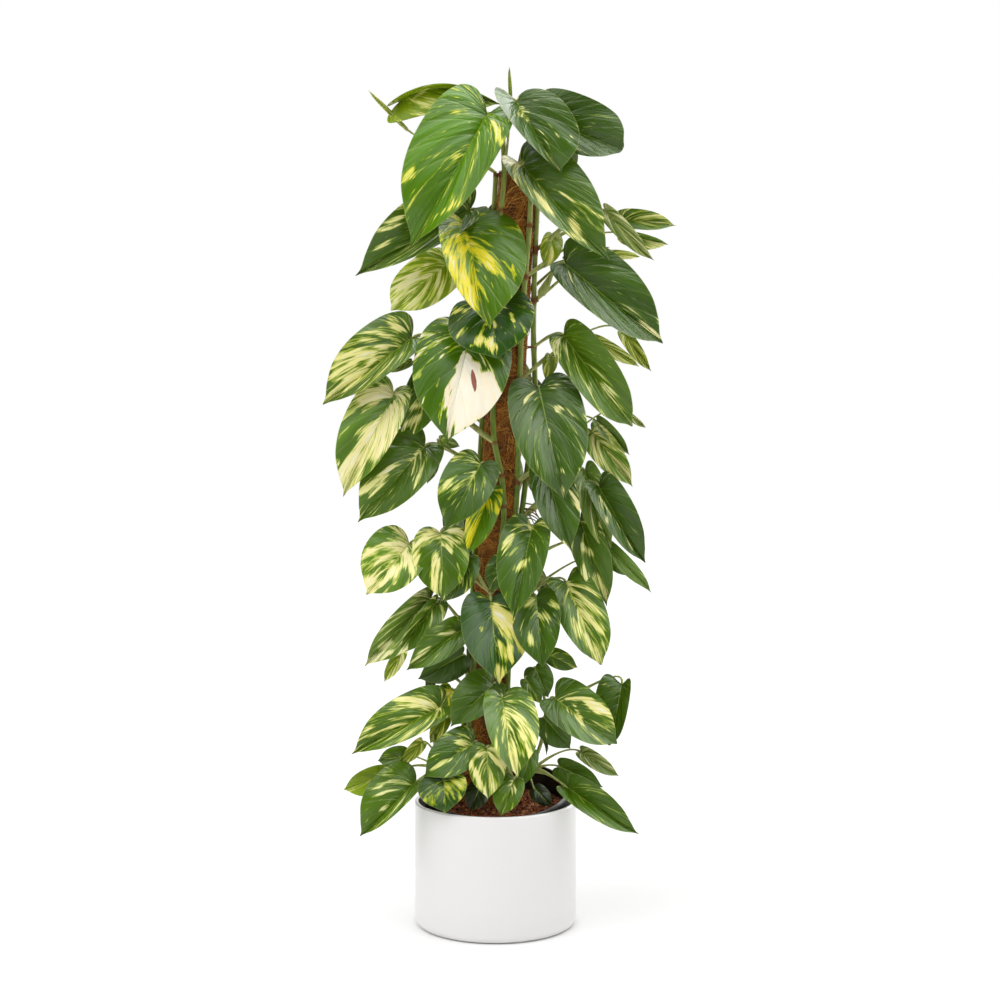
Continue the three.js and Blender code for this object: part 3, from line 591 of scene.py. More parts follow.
# name, stem, stalk x and z, tip x and z on the board, left and right half widths as seen, depth in front of
# the board at the stalk, how much further forward the tip is, look, and the leaf's own turns: full, a power
# that fills its halves out where it is under 1, the slant of a lobe to the tip, and its sweep aside
leafRows = [
    ("topLeftBack", "left", -162, 1389, 11, 1377, 8, 41, 15, 10, "olive", {"sweep": .15}),
    ("leftSpike", "left", -156, 1346, -218, 1408, 4, 4, 10, 0, "young"),
    ("topSpike", "right", 26, 1387, 23, 1448, 3, 3, 60, 0, "young"),
    ("topLeftBig", "left", -13, 1367, -142, 1144, 46, 88, 80, 30, "sunny", {"full": .85}),
    ("topCentre", "right", 35, 1389, 108, 1266, 68, 26, 85, 25, "dark",
     {"slantLeft": .2, "slantRight": -.2}),
    ("topRight", "right", 69, 1363, 215, 1306, 60, 36, 40, 20, "dark", {"full": .5, "slantLeft": .12}),
    ("upperRightBig", "right", 43, 1282, 190, 1114, 70, 27, 60, 40, "rib"),
    ("rightNarrow", "right", 188, 1200, 268, 1115, 15, 15, 60, 0, "grey"),
    ("rightSmallA", "right", 215, 1188, 307, 1178, 20, 14, 10, 5, "marble"),
    ("rightSmallB", "right", 218, 1164, 295, 1146, 7, 20, -5, 0, "cream"),
    ("leftDarkLong", "left", -43, 1204, -239, 1091, 24, 66, 30, 20, "flecked"),
    ("goldBig", "left", -50, 1176, -14, 1000, 90, 46, 60, 60, "gold"),
    ("leftPale", "left", -79, 1115, -179, 1035, 42, 42, 15, 10, "pale", {"full": .8, "slantRight": .1}),
    ("midDarkBroad", "left", -9, 1049, 3, 957, 70, 75, 50, 65, "darkGold",
     {"full": .6, "slantLeft": .12, "slantRight": .08}),
    ("halfCreamBig", "left", -43, 994, -86, 808, 78, 82, 45, 40, "halfCream"),
    ("leftMarbleA", "left", -142, 986, -293, 872, 24, 63, 25, 20, "marble", {"full": .85}),
    ("leftSmallGrey", "left", -145, 945, -186, 928, 8, 8, -5, 0, "grey"),
    ("leftCream", "left", -173, 891, -261, 717, 34, 58, 30, 20, "cream"),
    ("leftInnerDark", "left", -108, 928, -159, 808, 36, 31, 5, 10, "flecked"),
    ("leftDarkB", "left", -120, 802, -234, 672, 41, 58, 20, 25, "flecked"),
    ("leftSmallDark", "left", -105, 792, -116, 738, 14, 15, -10, 0, "leafy"),
    ("leftUnderside", "left", -94, 813, -60, 802, 10, 10, 25, 0, "grey"),
    ("heartMidLeft", "left", -25, 772, -86, 661, 39, 49, 60, 25, "greenGold"),
    ("behindHeart", "left", -9, 726, -48, 615, 26, 24, 42, 10, "gold"),
    ("lowMarbleLeft", "left", -147, 636, -218, 547, 44, 58, 20, 20, "cream"),
    ("lowMarbleMid", "left", -93, 654, -88, 539, 46, 49, 40, 20, "marble"),
    ("lowDarkMid", "left", -50, 615, -86, 536, 31, 34, 36, 5, "greenGold"),
    ("nearPoleDark", "left", 16, 609, -9, 554, 22, 24, 42, 10, "dark"),
    ("centreLong", "right", 62, 665, 30, 507, 34, 48, 50, 55, "greenGold"),
    ("centreBelow", "right", 69, 546, 81, 423, 37, 44, 50, 45, "greenGold"),
    ("rightMarbleHang", "right", 120, 571, 183, 432, 44, 37, 25, 30, "marble", {"full": .7}),
    ("rightDarkUnder", "right", 140, 520, 174, 435, 17, 27, 8, 5, "dark"),
    ("centreHalf", "left", -8, 539, 6, 398, 61, 53, 50, 40, "darkGold"),
    ("lowLeftGrey", "left", -111, 541, -225, 430, 37, 27, 10, 10, "satin"),
    ("lowLeftGreyB", "left", -101, 536, -166, 447, 27, 14, 28, 10, "flecked"),
    ("lowLeftGreen", "left", -57, 491, -152, 420, 24, 31, 35, 20, "leafy"),
    ("lowLeftTip", "left", -159, 452, -190, 401, 12, 12, 0, 0, "pale"),
    ("lowLeftDark", "left", -57, 447, -132, 405, 31, 24, 22, 10, "dark"),
    ("lowLeftGold", "shootLeft", -74, 388, -101, 332, 24, 24, 15, 5, "gold"),
    ("plainMid", "left", -3, 398, -77, 326, 27, 42, 42, 25, "plain"),
    ("leftLowBig", "shootLeft", -93, 359, -247, 280, 24, 48, 30, 20, "marble"),
    ("leftLowFold", "shootLeft", -152, 275, -201, 267, 17, 20, 5, 0, "leafy"),
    ("leftLowYoung", "shootLeft", -125, 299, -159, 262, 12, 12, 15, 0, "young"),
    ("leftLowPale", "shootLeft", -84, 345, -111, 296, 14, 14, 12, 0, "young"),
    ("leftBottomBack", "shootLeft", -188, 245, -259, 218, 27, 20, -10, 5, "olive"),
    ("leftBottom", "shootLeft", -135, 231, -229, 136, 14, 56, 30, 25, "leafy"),
    ("frontLeftRound", "shootLeft", -37, 299, -123, 240, 32, 39, 60, 20, "greenGold"),
    ("frontSmallMarble", "shootFront", -14, 289, -13, 201, 31, 31, 90, 20, "marble"),
    ("frontBigLow", "right", 11, 374, 37, 238, 53, 34, 75, 45, "marble"),
    ("frontGreenBack", "shootFront", 59, 282, 45, 224, 17, 17, 55, 5, "plain"),
    ("rimGold", "shootLeft", -88, 238, -84, 178, 37, 44, 75, 25, "lime"),
    ("rimGreen", "shootFront", 31, 235, 8, 173, 22, 27, 85, 15, "leafy"),
    # painted shade: these two lie in the shadow by the mix and take the dark shade look
    ("soilDarkA", "shootFront", -26, 224, -43, 182, 20, 20, 60, 10, "shade"),
    ("soilDarkB", "shootRight", 67, 219, 96, 190, 15, 15, 30, 5, "shade"),
    ("rightLowMarble", "shootRight", 101, 374, 205, 294, 48, 34, 45, 25, "rib", {"full": .75}),
    ("rightLowRound", "shootRight", 215, 398, 196, 292, 17, 41, 10, 5, "plain", {"full": .6}),
    ("rightLowDark", "shootRight", 84, 340, 128, 287, 24, 27, 22, 5, "plain"),
    ("rightLowGreen", "shootRight", 67, 425, 89, 374, 24, 24, 20, 10, "plain"),
    ("rightLowBits", "shootRight", 93, 447, 140, 425, 17, 17, 10, 5, "marble"),
    ("rightLowCream", "shootRight", 52, 405, 79, 364, 14, 14, 38, 5, "marble"),
    ("rightLowPlain", "shootRight", 110, 257, 183, 221, 20, 24, 15, 10, "plain"),
    ("rightLowGrey", "shootRight", 147, 282, 210, 240, 14, 14, -5, 5, "grey"),
    ("rightBottom", "shootRight", 123, 221, 242, 139, 31, 19, 40, 30, "rib"),
    ("bigRightDark", "right", 74, 901, 116, 711, 66, 58, 65, 50, "dark", {"full": .9}),
    ("rightUpperDark", "right", 118, 1112, 285, 976, 66, 34, 45, 35, "dark",
     {"full": .85, "slantRight": .1}),
    ("rightMidGreen", "right", 115, 991, 230, 836, 44, 34, 40, 30, "leafy",
     {"full": .75, "slantLeft": .08, "slantRight": .12}),
    ("rightMidGrey", "right", 173, 983, 246, 938, 10, 14, 5, 0, "pale"),
    ("rightYoung", "right", 218, 994, 264, 928, 12, 12, 0, 0, "young"),
    ("nearPoleYoung", "right", 98, 1158, 84, 1105, 20, 17, 30, 5, "young"),
    ("nearPoleYoungB", "right", 93, 955, 84, 916, 15, 10, 35, 5, "young"),
    ("underUpperA", "right", 123, 1120, 195, 1141, 10, 14, 20, 0, "marble"),
    ("underUpperB", "right", 196, 1130, 247, 1125, 7, 8, 10, 0, "pale"),
    ("rightGreyTip", "right", 174, 843, 229, 787, 14, 10, 15, 0, "satin"),
    ("rightThinTip", "right", 225, 857, 256, 833, 5, 7, 0, 0, "grey"),
    ("rightMarbleB", "right", 164, 826, 235, 734, 24, 27, 8, 5, "cream"),
    ("rightLowerDark", "right", 176, 733, 251, 602, 36, 22, 40, 20, "dark", {"full": .8}),
    ("rightFrontDark", "right", 84, 762, 128, 624, 41, 32, 48, 20, "dark"),
    ("rightMidDark", "right", 152, 758, 193, 614, 27, 24, 22, 5, "satin"),
    ("rightLowGold", "right", 144, 677, 193, 530, 31, 31, 12, 10, "flecked"),
    ("rightNarrowLow", "right", 188, 634, 268, 554, 14, 14, 10, 5, "satin"),
    ("rightBright", "right", 198, 609, 237, 585, 15, 15, -5, 0, "leafy"),
]

# The far side repeats leaves of the near side: name, turn about the pole in degrees, rise.
farLeaves = [
    ("topCentre", 135, -60), ("topCentre", 225, -30), ("goldBig", 225, 0), ("goldBig", 250, 40),
    ("leftPale", 198, 0), ("rightMidGreen", 108, -30), ("leftPale", 261, -30),
    ("halfCreamBig", 255, 20), ("rightMidGreen", 162, 0), ("bigRightDark", 108, -60),
    ("bigRightDark", 90, 0), ("heartMidLeft", 144, -30), ("heartMidLeft", 243, 0),
    ("leftDarkB", 252, -60), ("leftDarkB", 270, 0), ("centreLong", 189, 30), ("lowMarbleMid", 234, 0),
    ("centreBelow", 135, 0), ("centreHalf", 162, 0), ("centreHalf", 252, -60),
    ("lowLeftGreen", 243, -60), ("leftCream", 261, 30), ("plainMid", 234, -30), ("plainMid", 117, -60),
    ("frontBigLow", 144, -60), ("leftLowBig", 235, 0), ("frontLeftRound", 225, -30),
    ("centreLong", 108, -60),
]

# How a leaf is marked: green, the lime where it pales, cream, how much of each half is pale, and the
# palest that its marks get, so that the noise still cuts green streaks into them.
looks = {
    "sunny": ("#4f7a00", "#789608", "#e4e256", 0.04, 0.04, 0.72),
    "leafy": ("#4b6b03", "#869e2e", "#f0eea6", 0.06, 0.06, 0.72),
    "dark": ("#3d5b0c", "#708830", "#f4eca0", -0.12, -0.12, 0.64),
    "darkGold": ("#2a5003", "#8aa00c", "#efe474", 0.0, 0.0, 0.82),
    "rib": ("#466704", "#7c9428", "#f4ec92", 0.06, 0.06, 0.78),
    "satin": ("#62802a", "#8a9e40", "#e8e6a8", 0.16, 0.16, 0.72),
    "grey": ("#667e26", "#a2b05c", "#dcdaa0", 0.4, 0.4, 0.72),
    "gold": ("#568002", "#aec018", "#ffee24", 0.08, 0.38, 0.78),
    "lime": ("#2c4c03", "#6e8404", "#b8bc38", 0.26, 0.26, 0.72),
    "marble": ("#4b6d05", "#96aa30", "#f8f29c", 0.22, 0.22, 0.72),
    "cream": ("#5c8024", "#acbe4a", "#f8efa6", 0.34, 0.42, 0.78),
    "halfCream": ("#426703", "#9cb60c", "#fff0ce", 0.0, 0.04, 1.6),
    "pale": ("#84a012", "#cad848", "#fffab2", 0.44, 0.44, 0.85),
    "greenGold": ("#3e5f03", "#92a834", "#f0ee92", 0.05, 0.05, 0.72),
    "flecked": ("#466604", "#8c9f3e", "#faf6a0", 0.12, 0.12, 0.78),
    "plain": ("#48690a", "#708622", "#dcdc80", -0.14, -0.14, 0.72),
    "young": ("#788e08", "#a6b430", "#eee88a", 0.36, 0.36, 0.72),
    "olive": ("#829c0c", "#a2b420", "#e4e28c", 0.14, 0.14, 0.72),
    # painted shade: the leaves down by the mix get this much darker green because they lie in shadow there
    "shade": ("#202f00", "#3a4a08", "#8a8c40", 0.0, 0.0, 0.72),
}

# Brush marks of single leaves, measured on the board: x and z of both ends, greatest width, and how much
# paler the leaf gets there (darker if negative). A full cream mark has about 1.
leafMarks = {
    "topLeftBig": [(-9, 1349, 0, 1295, 11, 1), (-79, 1308, -128, 1282, 5, .9),
        (-138, 1276, -161, 1246, 8, .8), (-76, 1227, -83, 1201, 8, .6), (-66, 1203, -109, 1186, 5, .9),
        (-68, 1290, -78, 1284, 6, .8)],
    "topLeftBack": [(-86, 1406, -138, 1380, 8, .9)],
    "topCentre": [(17, 1424, 36, 1393, 18, 1.2), (46, 1375, 56, 1354, 20, 1.2), (75, 1354, 98, 1341, 5, 1),
        (98, 1341, 114, 1315, 5, 1), (87, 1300, 106, 1272, 4, .8), (129, 1328, 121, 1308, 4, .8)],
    "topRight": [(124, 1308, 166, 1297, 10, 1.1), (103, 1393, 118, 1378, 8, 1),
        (142, 1338, 174, 1350, 4, .6)],
    "upperRightBig": [(15, 1289, 43, 1282, 27, 1.3), (74, 1227, 106, 1185, 9, .8),
        (132, 1194, 144, 1159, 16, 1.2), (114, 1229, 197, 1181, 7, .9), (132, 1155, 158, 1144, 7, .9)],
    "leftDarkLong": [(-198, 1178, -158, 1191, 9, 1.2), (-176, 1203, -161, 1207, 4, 1),
        (-204, 1163, -167, 1177, 4, .8), (-210, 1134, -170, 1157, 8, 1)],
    "leftPale": [(-173, 1052, -131, 1101, 11, 1), (-176, 1069, -149, 1086, 5, .8),
        (-96, 1101, -97, 1057, 9, 1), (-158, 1042, -149, 1055, 5, .8), (-173, 1101, -135, 1121, 5, .8),
        (-119, 1113, -122, 1101, 4, .7), (-179, 1039, -167, 1051, 5, .8)],
    "goldBig": [(-44, 1146, 14, 1083, 15, 1.3), (-36, 1101, -1, 1066, 4, .9), (-31, 1078, -9, 1041, 5, .9),
        (-46, 1156, -39, 1113, 6, .9), (-39, 1113, -29, 1026, 6, .7), (-66, 1081, -34, 1031, 15, 1),
        (-76, 1106, -63, 1071, 10, .7), (29, 1101, 34, 1073, 6, .8), (-46, 1196, -11, 1197, 5, .6),
        (-61, 1146, -54, 1111, 10, .6)],
    "midDarkBroad": [(7, 1038, 25, 1020, 5, 1.2), (25, 1020, 35, 990, 6, 1.2), (-2, 1027, 0, 998, 8, .9),
        (-42, 968, -16, 980, 11, 1.2), (-16, 973, 2, 967, 15, 1.2), (-75, 1033, -48, 1032, 7, .8),
        (-76, 973, -53, 992, 6, .9)],
    "halfCreamBig": [(-55, 960, -81, 820, 10, 1.6), (-48, 950, -65, 827, 24, 1.6),
        (-35, 929, -48, 840, 42, 1.6), (-16, 911, -29, 863, 39, 1.6), (0, 885, -22, 851, 33, 1.6),
        (15, 881, -16, 840, 20, 1.4), (-35, 957, -9, 924, 11, .4), (-84, 895, -78, 833, 10, .8),
        (-105, 892, -94, 915, 7, .8), (-97, 946, -89, 954, 6, .8)],
    "leftMarbleA": [(-180, 1021, -151, 1001, 17, 1.3), (-200, 991, -162, 979, 7, 1.1),
        (-233, 978, -200, 981, 8, .5), (-206, 973, -185, 967, 9, .6), (-271, 949, -209, 958, 14, 1.4),
        (-285, 931, -239, 943, 15, 1.2), (-291, 914, -236, 932, 11, 1), (-290, 878, -230, 935, 9, 1),
        (-258, 894, -209, 947, 7, .9)],
    "leftCream": [(-194, 900, -170, 890, 18, 1.3), (-224, 876, -194, 885, 15, 1.2),
        (-235, 853, -200, 873, 7, .9), (-173, 882, -242, 835, 18, -1.2), (-244, 818, -200, 846, 7, .9),
        (-166, 876, -211, 786, 37, 1.3), (-233, 781, -258, 731, 30, 1.2), (-243, 827, -274, 786, 20, -1)],
    "leftInnerDark": [(-156, 881, -145, 890, 10, 1), (-150, 864, -120, 875, 8, .8),
        (-156, 835, -129, 852, 9, .9)],
    "leftDarkB": [(-130, 796, -143, 731, 12, 1.2), (-216, 716, -178, 766, 11, .9),
        (-236, 721, -196, 741, 14, .9)],
    "heartMidLeft": [(-34, 758, -39, 716, 12, 1), (-19, 746, -24, 706, 12, .9),
        (-86, 733, -78, 743, 6, .7)],
    "behindHeart": [(-16, 711, 4, 686, 16, 1.1), (-51, 674, -49, 649, 13, 1)],
    "lowMarbleLeft": [(-216, 619, -156, 629, 24, 1.3), (-168, 661, -141, 649, 15, 1.1),
        (-223, 556, -206, 569, 22, 1.2), (-196, 564, -161, 601, 11, .9), (-153, 619, -143, 581, 12, 1),
        (-191, 649, -211, 631, 19, -.9)],
    "lowMarbleMid": [(-96, 651, -76, 621, 18, 1.2), (-76, 661, -58, 639, 21, 1.1),
        (-98, 661, -131, 631, 16, 1.1), (-103, 621, -98, 549, 15, 1.3), (-141, 631, -131, 576, 18, 1.2),
        (-86, 629, -76, 594, 22, -.9), (-118, 614, -128, 586, 15, -.9)],
    "lowDarkMid": [(-58, 586, -56, 566, 8, .9)],
    "centreLong": [(11, 617, 28, 645, 12, 1.2), (17, 611, 35, 625, 14, 1), (30, 586, 54, 604, 12, .9),
        (58, 677, 60, 660, 10, .9)],
    "centreBelow": [(91, 533, 112, 520, 12, 1), (73, 515, 93, 500, 10, .9), (60, 478, 67, 459, 11, .8),
        (76, 565, 93, 567, 10, .8), (50, 528, 65, 541, 14, .8)],
    "rightMarbleHang": [(138, 548, 182, 487, 21, 1.3), (132, 507, 143, 474, 12, .9),
        (154, 478, 182, 437, 12, .9), (123, 572, 134, 539, 11, .6)],
    "centreHalf": [(0, 527, 43, 456, 29, 1.2), (43, 475, 53, 442, 24, 1.3), (8, 465, 31, 432, 15, 1.1),
        (3, 427, 8, 401, 14, 1), (-26, 492, -23, 482, 7, .8)],
    "lowLeftGrey": [(-198, 461, -169, 468, 13, .9), (-224, 434, -174, 454, 10, 1)],
    "lowLeftGreen": [(-109, 485, -69, 487, 10, 1.1), (-145, 432, -112, 461, 13, .8)],
    "frontBigLow": [(20, 353, 44, 309, 23, 1.3), (44, 328, 68, 293, 12, 1), (30, 304, 57, 271, 16, 1.1),
        (25, 293, 36, 244, 12, .9)],
    "frontSmallMarble": [(-8, 288, 14, 258, 18, 1.2), (-32, 277, -16, 282, 9, .9),
        (-43, 266, -16, 206, 7, .9)],
    "frontLeftRound": [(-65, 315, -43, 296, 12, 1.3), (-67, 298, -51, 290, 12, 1.3),
        (-113, 252, -73, 271, 8, .8), (-97, 315, -75, 312, 14, .5)],
    "rimGreen": [(30, 233, 33, 212, 12, .8)],
    "leftLowBig": [(-168, 369, -130, 366, 15, 1.2), (-140, 377, -97, 358, 15, .9),
        (-181, 355, -157, 358, 7, .8), (-224, 320, -205, 331, 8, .6)],
    "leftBottom": [(-210, 220, -192, 224, 8, 1.2), (-195, 182, -184, 190, 9, .9)],
    "rightLowMarble": [(154, 368, 186, 351, 14, 1.3), (121, 372, 164, 374, 7, .8),
        (134, 361, 151, 327, 8, .9)],
    "bigRightDark": [(66, 893, 51, 870, 10, 1.1), (73, 881, 68, 873, 9, 1), (90, 903, 110, 903, 10, .7),
        (101, 866, 129, 857, 10, .7), (129, 853, 168, 835, 16, 1.1), (92, 831, 93, 808, 7, .7),
        (112, 762, 121, 749, 6, .9), (143, 760, 145, 747, 7, .9), (112, 736, 115, 719, 7, .8)],
    "rightUpperDark": [(127, 1098, 136, 1074, 7, .7), (211, 1061, 248, 1044, 6, .7),
        (246, 1013, 285, 983, 6, 1), (274, 1020, 283, 998, 4, .8)],
    "rightMidGreen": [(103, 981, 110, 942, 21, 1.2), (181, 907, 211, 883, 9, .9),
        (164, 909, 166, 888, 6, .7)],
    "rightLowerDark": [(190, 682, 193, 667, 5, .8), (177, 716, 234, 623, 5, .7)],
    "rightFrontDark": [(128, 723, 147, 686, 13, .9), (138, 734, 147, 708, 7, .8),
        (115, 638, 130, 619, 13, .8)],
    "rightLowGold": [(147, 634, 164, 617, 12, .9), (151, 597, 160, 565, 12, .9),
        (169, 584, 175, 558, 14, 1.1), (182, 565, 190, 543, 10, .9)],
    "lowLeftGold": [(-83, 389, -76, 375, 13, .9)],
}

# a healed graze: x and z of both ends on the board, and its width
leafScars = {"halfCreamBig": (-41, 924, -36, 891, 8)}


# the line of sight to the board's middle, its length, and the direction up the board
def boardSight():
    line = sight["boardMiddle"] - sight["eye"]
    reach = np.linalg.norm(line)
    return line, reach, np.cross([1.0, 0, 0], line / reach)


# the place in space of a point of the board, moved depth towards the eye
def fromBoard(x, z, depth):
    _, reach, up = boardSight()
    middle = sight["boardMiddle"]
    place = middle + (x - middle[0]) * np.array([1.0, 0, 0]) + (z + sight["boardFoot"] - middle[2]) * up
    return sight["eye"] + (place - sight["eye"]) * (1 - depth / reach)


# where a point in space is seen on the board: its x and z there
def onBoard(points):
    line, reach, up = boardSight()
    middle = sight["boardMiddle"]
    ray = points - sight["eye"]
    seen = sight["eye"] + ray * (reach / (ray @ line * (1 / reach)))[..., None] - middle
    return np.stack([seen[..., 0] + middle[0], seen @ up + middle[2] - sight["boardFoot"]], -1)


# A leaf's own frame: its base, the directions along it, across it and out of its face, its length and the
# half width it has when flat. A half that is seen narrower than that is folded away from the eye.
def leafFrame(row):
    name, stem, baseX, baseZ, tipX, tipZ, leftWidth, rightWidth, depth, lean, look, *own = row
    base = fromBoard(baseX, baseZ, depth)
    tip = fromBoard(tipX, tipZ, depth + lean)
    length = np.linalg.norm(tip - base)
    along = (tip - base) / length
    face = unit(sight["eye"] - (base + tip) / 2)
    face = unit(face - (face @ along) * along)
    wider = max(leftWidth, rightWidth)
    return {"name": name, "stem": stem, "look": look, "own": own[0] if own else {}, "base": base,
            "along": along, "across": np.cross(face, along), "face": face, "length": length,
            "half": max(wider, min(0.3 * length, 1.25 * wider)), "seen": (leftWidth, rightWidth)}


# the same leaf on the back stem, turned about the pole and raised
def turnedFrame(leaf, degrees, rise):
    t = math.radians(degrees)
    turn = np.array([[math.cos(t), -math.sin(t), 0], [math.sin(t), math.cos(t), 0], [0, 0, 1]])
    z = leaf["base"][2]
    moved = {key: turn @ leaf[key] for key in ("along", "across", "face")}
    moved["base"] = turn @ (leaf["base"] - poleMiddle(z)) + poleMiddle(z + rise)
    return {**leaf, **moved, "stem": "back"}


# The half outline at stations from 0 at the stalk to 1 at the tip: a Catmull-Rom curve through its points.
def edgeCurve(stations):
    edge = leafShape["edge"]
    held = np.vstack([2 * edge[0] - edge[1], edge, 2 * edge[-1] - edge[-2]])
    p0, p1, p2, p3, t = aroundEach(held, stations * (len(edge) - 1))
    curve = 0.5 * (2 * p1 + (p2 - p0) * t + (2 * p0 - 5 * p1 + 4 * p2 - p3) * t ** 2
                   + (3 * p1 - p0 - 3 * p2 + p3) * t ** 3)
    return curve[:, 0], np.maximum(0, curve[:, 1])


# One half of a leaf, as a grid of stations round its edge by shares of the way there from the rib.
# x runs along the leaf and y across it, both as shares; the rib's own x is where that vein leaves it.
# Height over the leaf's plane = arch x bow + fold x y - droop x y squared + waves of the edge (y squared x
# a sine of the station) + dents (y x a sine of x) + belly x sine of pi y, and the last fifth of the tip
# bends down and aside. The skin rises between the veins (sine squared) and sinks in a groove on the rib.
def leafHalf(leaf, stations, shares, side, random):
    form, own = leafShape, leaf["own"]
    length, half = leaf["length"], leaf["half"]
    flat = min(1.0, leaf["seen"][0 if side > 0 else 1] / half)
    steep = math.sqrt(1 - flat * flat)
    slant = own.get("slantLeft" if side > 0 else "slantRight", 0)
    rib = np.maximum(0, (stations - form["ribStart"]) / (1 - form["ribStart"])) ** form["ribPower"]
    edgeX, edgeY = edgeCurve(stations)
    y = edgeY[:, None] ** own.get("full", 1) * shares
    x = rib[:, None] + (edgeX - rib)[:, None] * shares ** 1.35 + slant * y
    bow = 4 * x * (1 - x)
    u, v = stations[:, None], shares[None]
    waves, start = random.uniform(1.6, 2.6), random.uniform(0, 6.3)
    wave = form["wave"] * half * y ** 2 * np.sin(2 * np.pi * waves * u + start)
    dents, start = random.uniform(1.2, 2.2), random.uniform(0, 6.3)
    dent = form["dent"] * length * y * np.sin(np.pi * dents * x + start)
    veins = np.sin(np.pi * form["veins"] * u) ** 2
    quilt = form["quilting"] * length * veins * smoothRise(0.02, 0.3, v) * (1 - 0.75 * v ** 2)
    groove = form["groove"] * np.exp(-(y * half / form["grooveWide"]) ** 2) * np.sqrt(np.clip(bow, 0, 1))
    proud = form["arch"] * length * bow + form["fold"] * half * y * steep - form["droop"] * half * y * y
    proud = proud + (wave + dent) * smoothRise(0, 0.5, y) + form["belly"] * half * np.sin(np.pi * y) * flat
    tip = smoothRise(0.78, 1.05, x) * length * form["tipBend"]
    proud = proud - tip * leaf["curl"][0]
    aside = side * y * half * flat + own.get("sweep", 0) * length * bow + tip * leaf["curl"][1]
    middle = (leaf["base"] + (x * length)[..., None] * leaf["along"] + aside[..., None] * leaf["across"]
              + proud[..., None] * leaf["face"])
    tilt = np.clip(4 * y, 0, 1)[..., None]
    normal = unit((1 - tilt) * leaf["face"] + tilt * (leaf["face"] * flat - side * leaf["across"] * steep))
    thin = form["thickness"] / 2 * (1 - 0.5 * v ** 6)
    front = middle + (thin + quilt - groove)[..., None] * normal
    back = middle + (-thin + quilt * 0.8 - groove * 1.5)[..., None] * normal
    return front, back, x, side * y * half * flat


# How near a leaf's points lie to a mark, from 1 on its middle line to 0: a Gaussian of the distance from
# the line, widest halfway along it.
def brushed(board, x0, z0, x1, z1, wide):
    step = np.array([x1 - x0, z1 - z0])
    start = board - (x0, z0)
    t = np.clip(start @ step / (step @ step), 0, 1)
    gap = np.linalg.norm(start - t[..., None] * step, axis=-1)
    return np.exp(-(gap / (0.55 * wide * (0.45 + 2.2 * t * (1 - t)))) ** 2)


# How pale a half is and where it is scarred. A far leaf has the marks of the near leaf that it repeats.
def paleness(leaf, x, aside, side):
    look = looks[leaf["look"]]
    home = byName[leaf["name"]]
    place = (home["base"] + (x * home["length"])[..., None] * home["along"]
             + aside[..., None] * home["across"])
    board = onBoard(place)
    value = look[3 if side > 0 else 4] + 0 * x
    for *mark, amount in leafMarks.get(leaf["name"], []):
        value = value + amount * brushed(board, *mark)
    scar = brushed(board, *leafScars[leaf["name"]]) if leaf["name"] in leafScars else 0 * x
    return np.minimum(value, look[5]), scar


# A leaf is four grids, a front and a back for each half, with a narrow rim joining them round the edge.
# Each point keeps its station u, its share v, its side and layer, its marks, and its flat place x, y.
def leafGrids(leaf, random):
    rows, columns = next(grid[1:] for grid in leafShape["grids"] if leaf["length"] > grid[0])
    stations, shares = np.linspace(0, 1, rows), np.linspace(0, 1, columns) ** 1.15
    u, v = np.meshgrid(stations, shares, indexing="ij")
    row, column = gridCorners(rows, columns)
    edgeRow, edgeLayer = gridCorners(rows, 2)
    points, triangles, kept = [], [], []
    for side in (1, -1):
        front, back, x, y = leafHalf(leaf, stations, shares, side, random)
        pale, scar = paleness(leaf, x, y, side)
        for layer, grid in ((0, front), (1, back)):
            start = len(points) * rows * columns
            corners = start + row * columns + column
            triangles.append(corners[:, ::-1] if (side > 0) == (layer == 0) else corners)
            points.append(grid.reshape(-1, 3))
            kept.append({"u": u, "v": v, "side": side + 0 * u, "back": layer + 0 * u,
                         "pale": pale, "scar": scar, "x": x, "y": y})
        start -= rows * columns
        rim = start + (edgeLayer * rows + edgeRow) * columns + columns - 1
        triangles.append(rim if side > 0 else rim[:, ::-1])
    fields = {key: np.concatenate([grid[key].ravel() for grid in kept]) for key in kept[0]}
    return np.concatenate(points), np.concatenate(triangles), fields


# The leaf's place in its piece's flat plan: x, y stretched to one square cell of cells x cells, fronts in
# even cells and backs in odd ones, and the rim in the front's cell with its back edge pushed outwards.
def flatPlan(fields, triangles, cell, cells):
    plan = np.stack([fields["x"], fields["y"]], -1)
    low, high = plan.min(0), plan.max(0)
    place = (0.06 + 0.88 * (plan - low) / (high - low))[triangles]
    back = fields["back"][triangles]
    onRim = np.ptp(back, axis=1) > 0
    pushed = place + 0.012 * np.where(back[..., None] > 0, unit(place - 0.5 + 1e-6), 0)
    place = np.where(onRim[:, None, None], pushed, place)
    at = 2 * cell + np.where(onRim[:, None], 0, back)
    return (place + np.stack([at % cells, at // cells], -1)) / cells


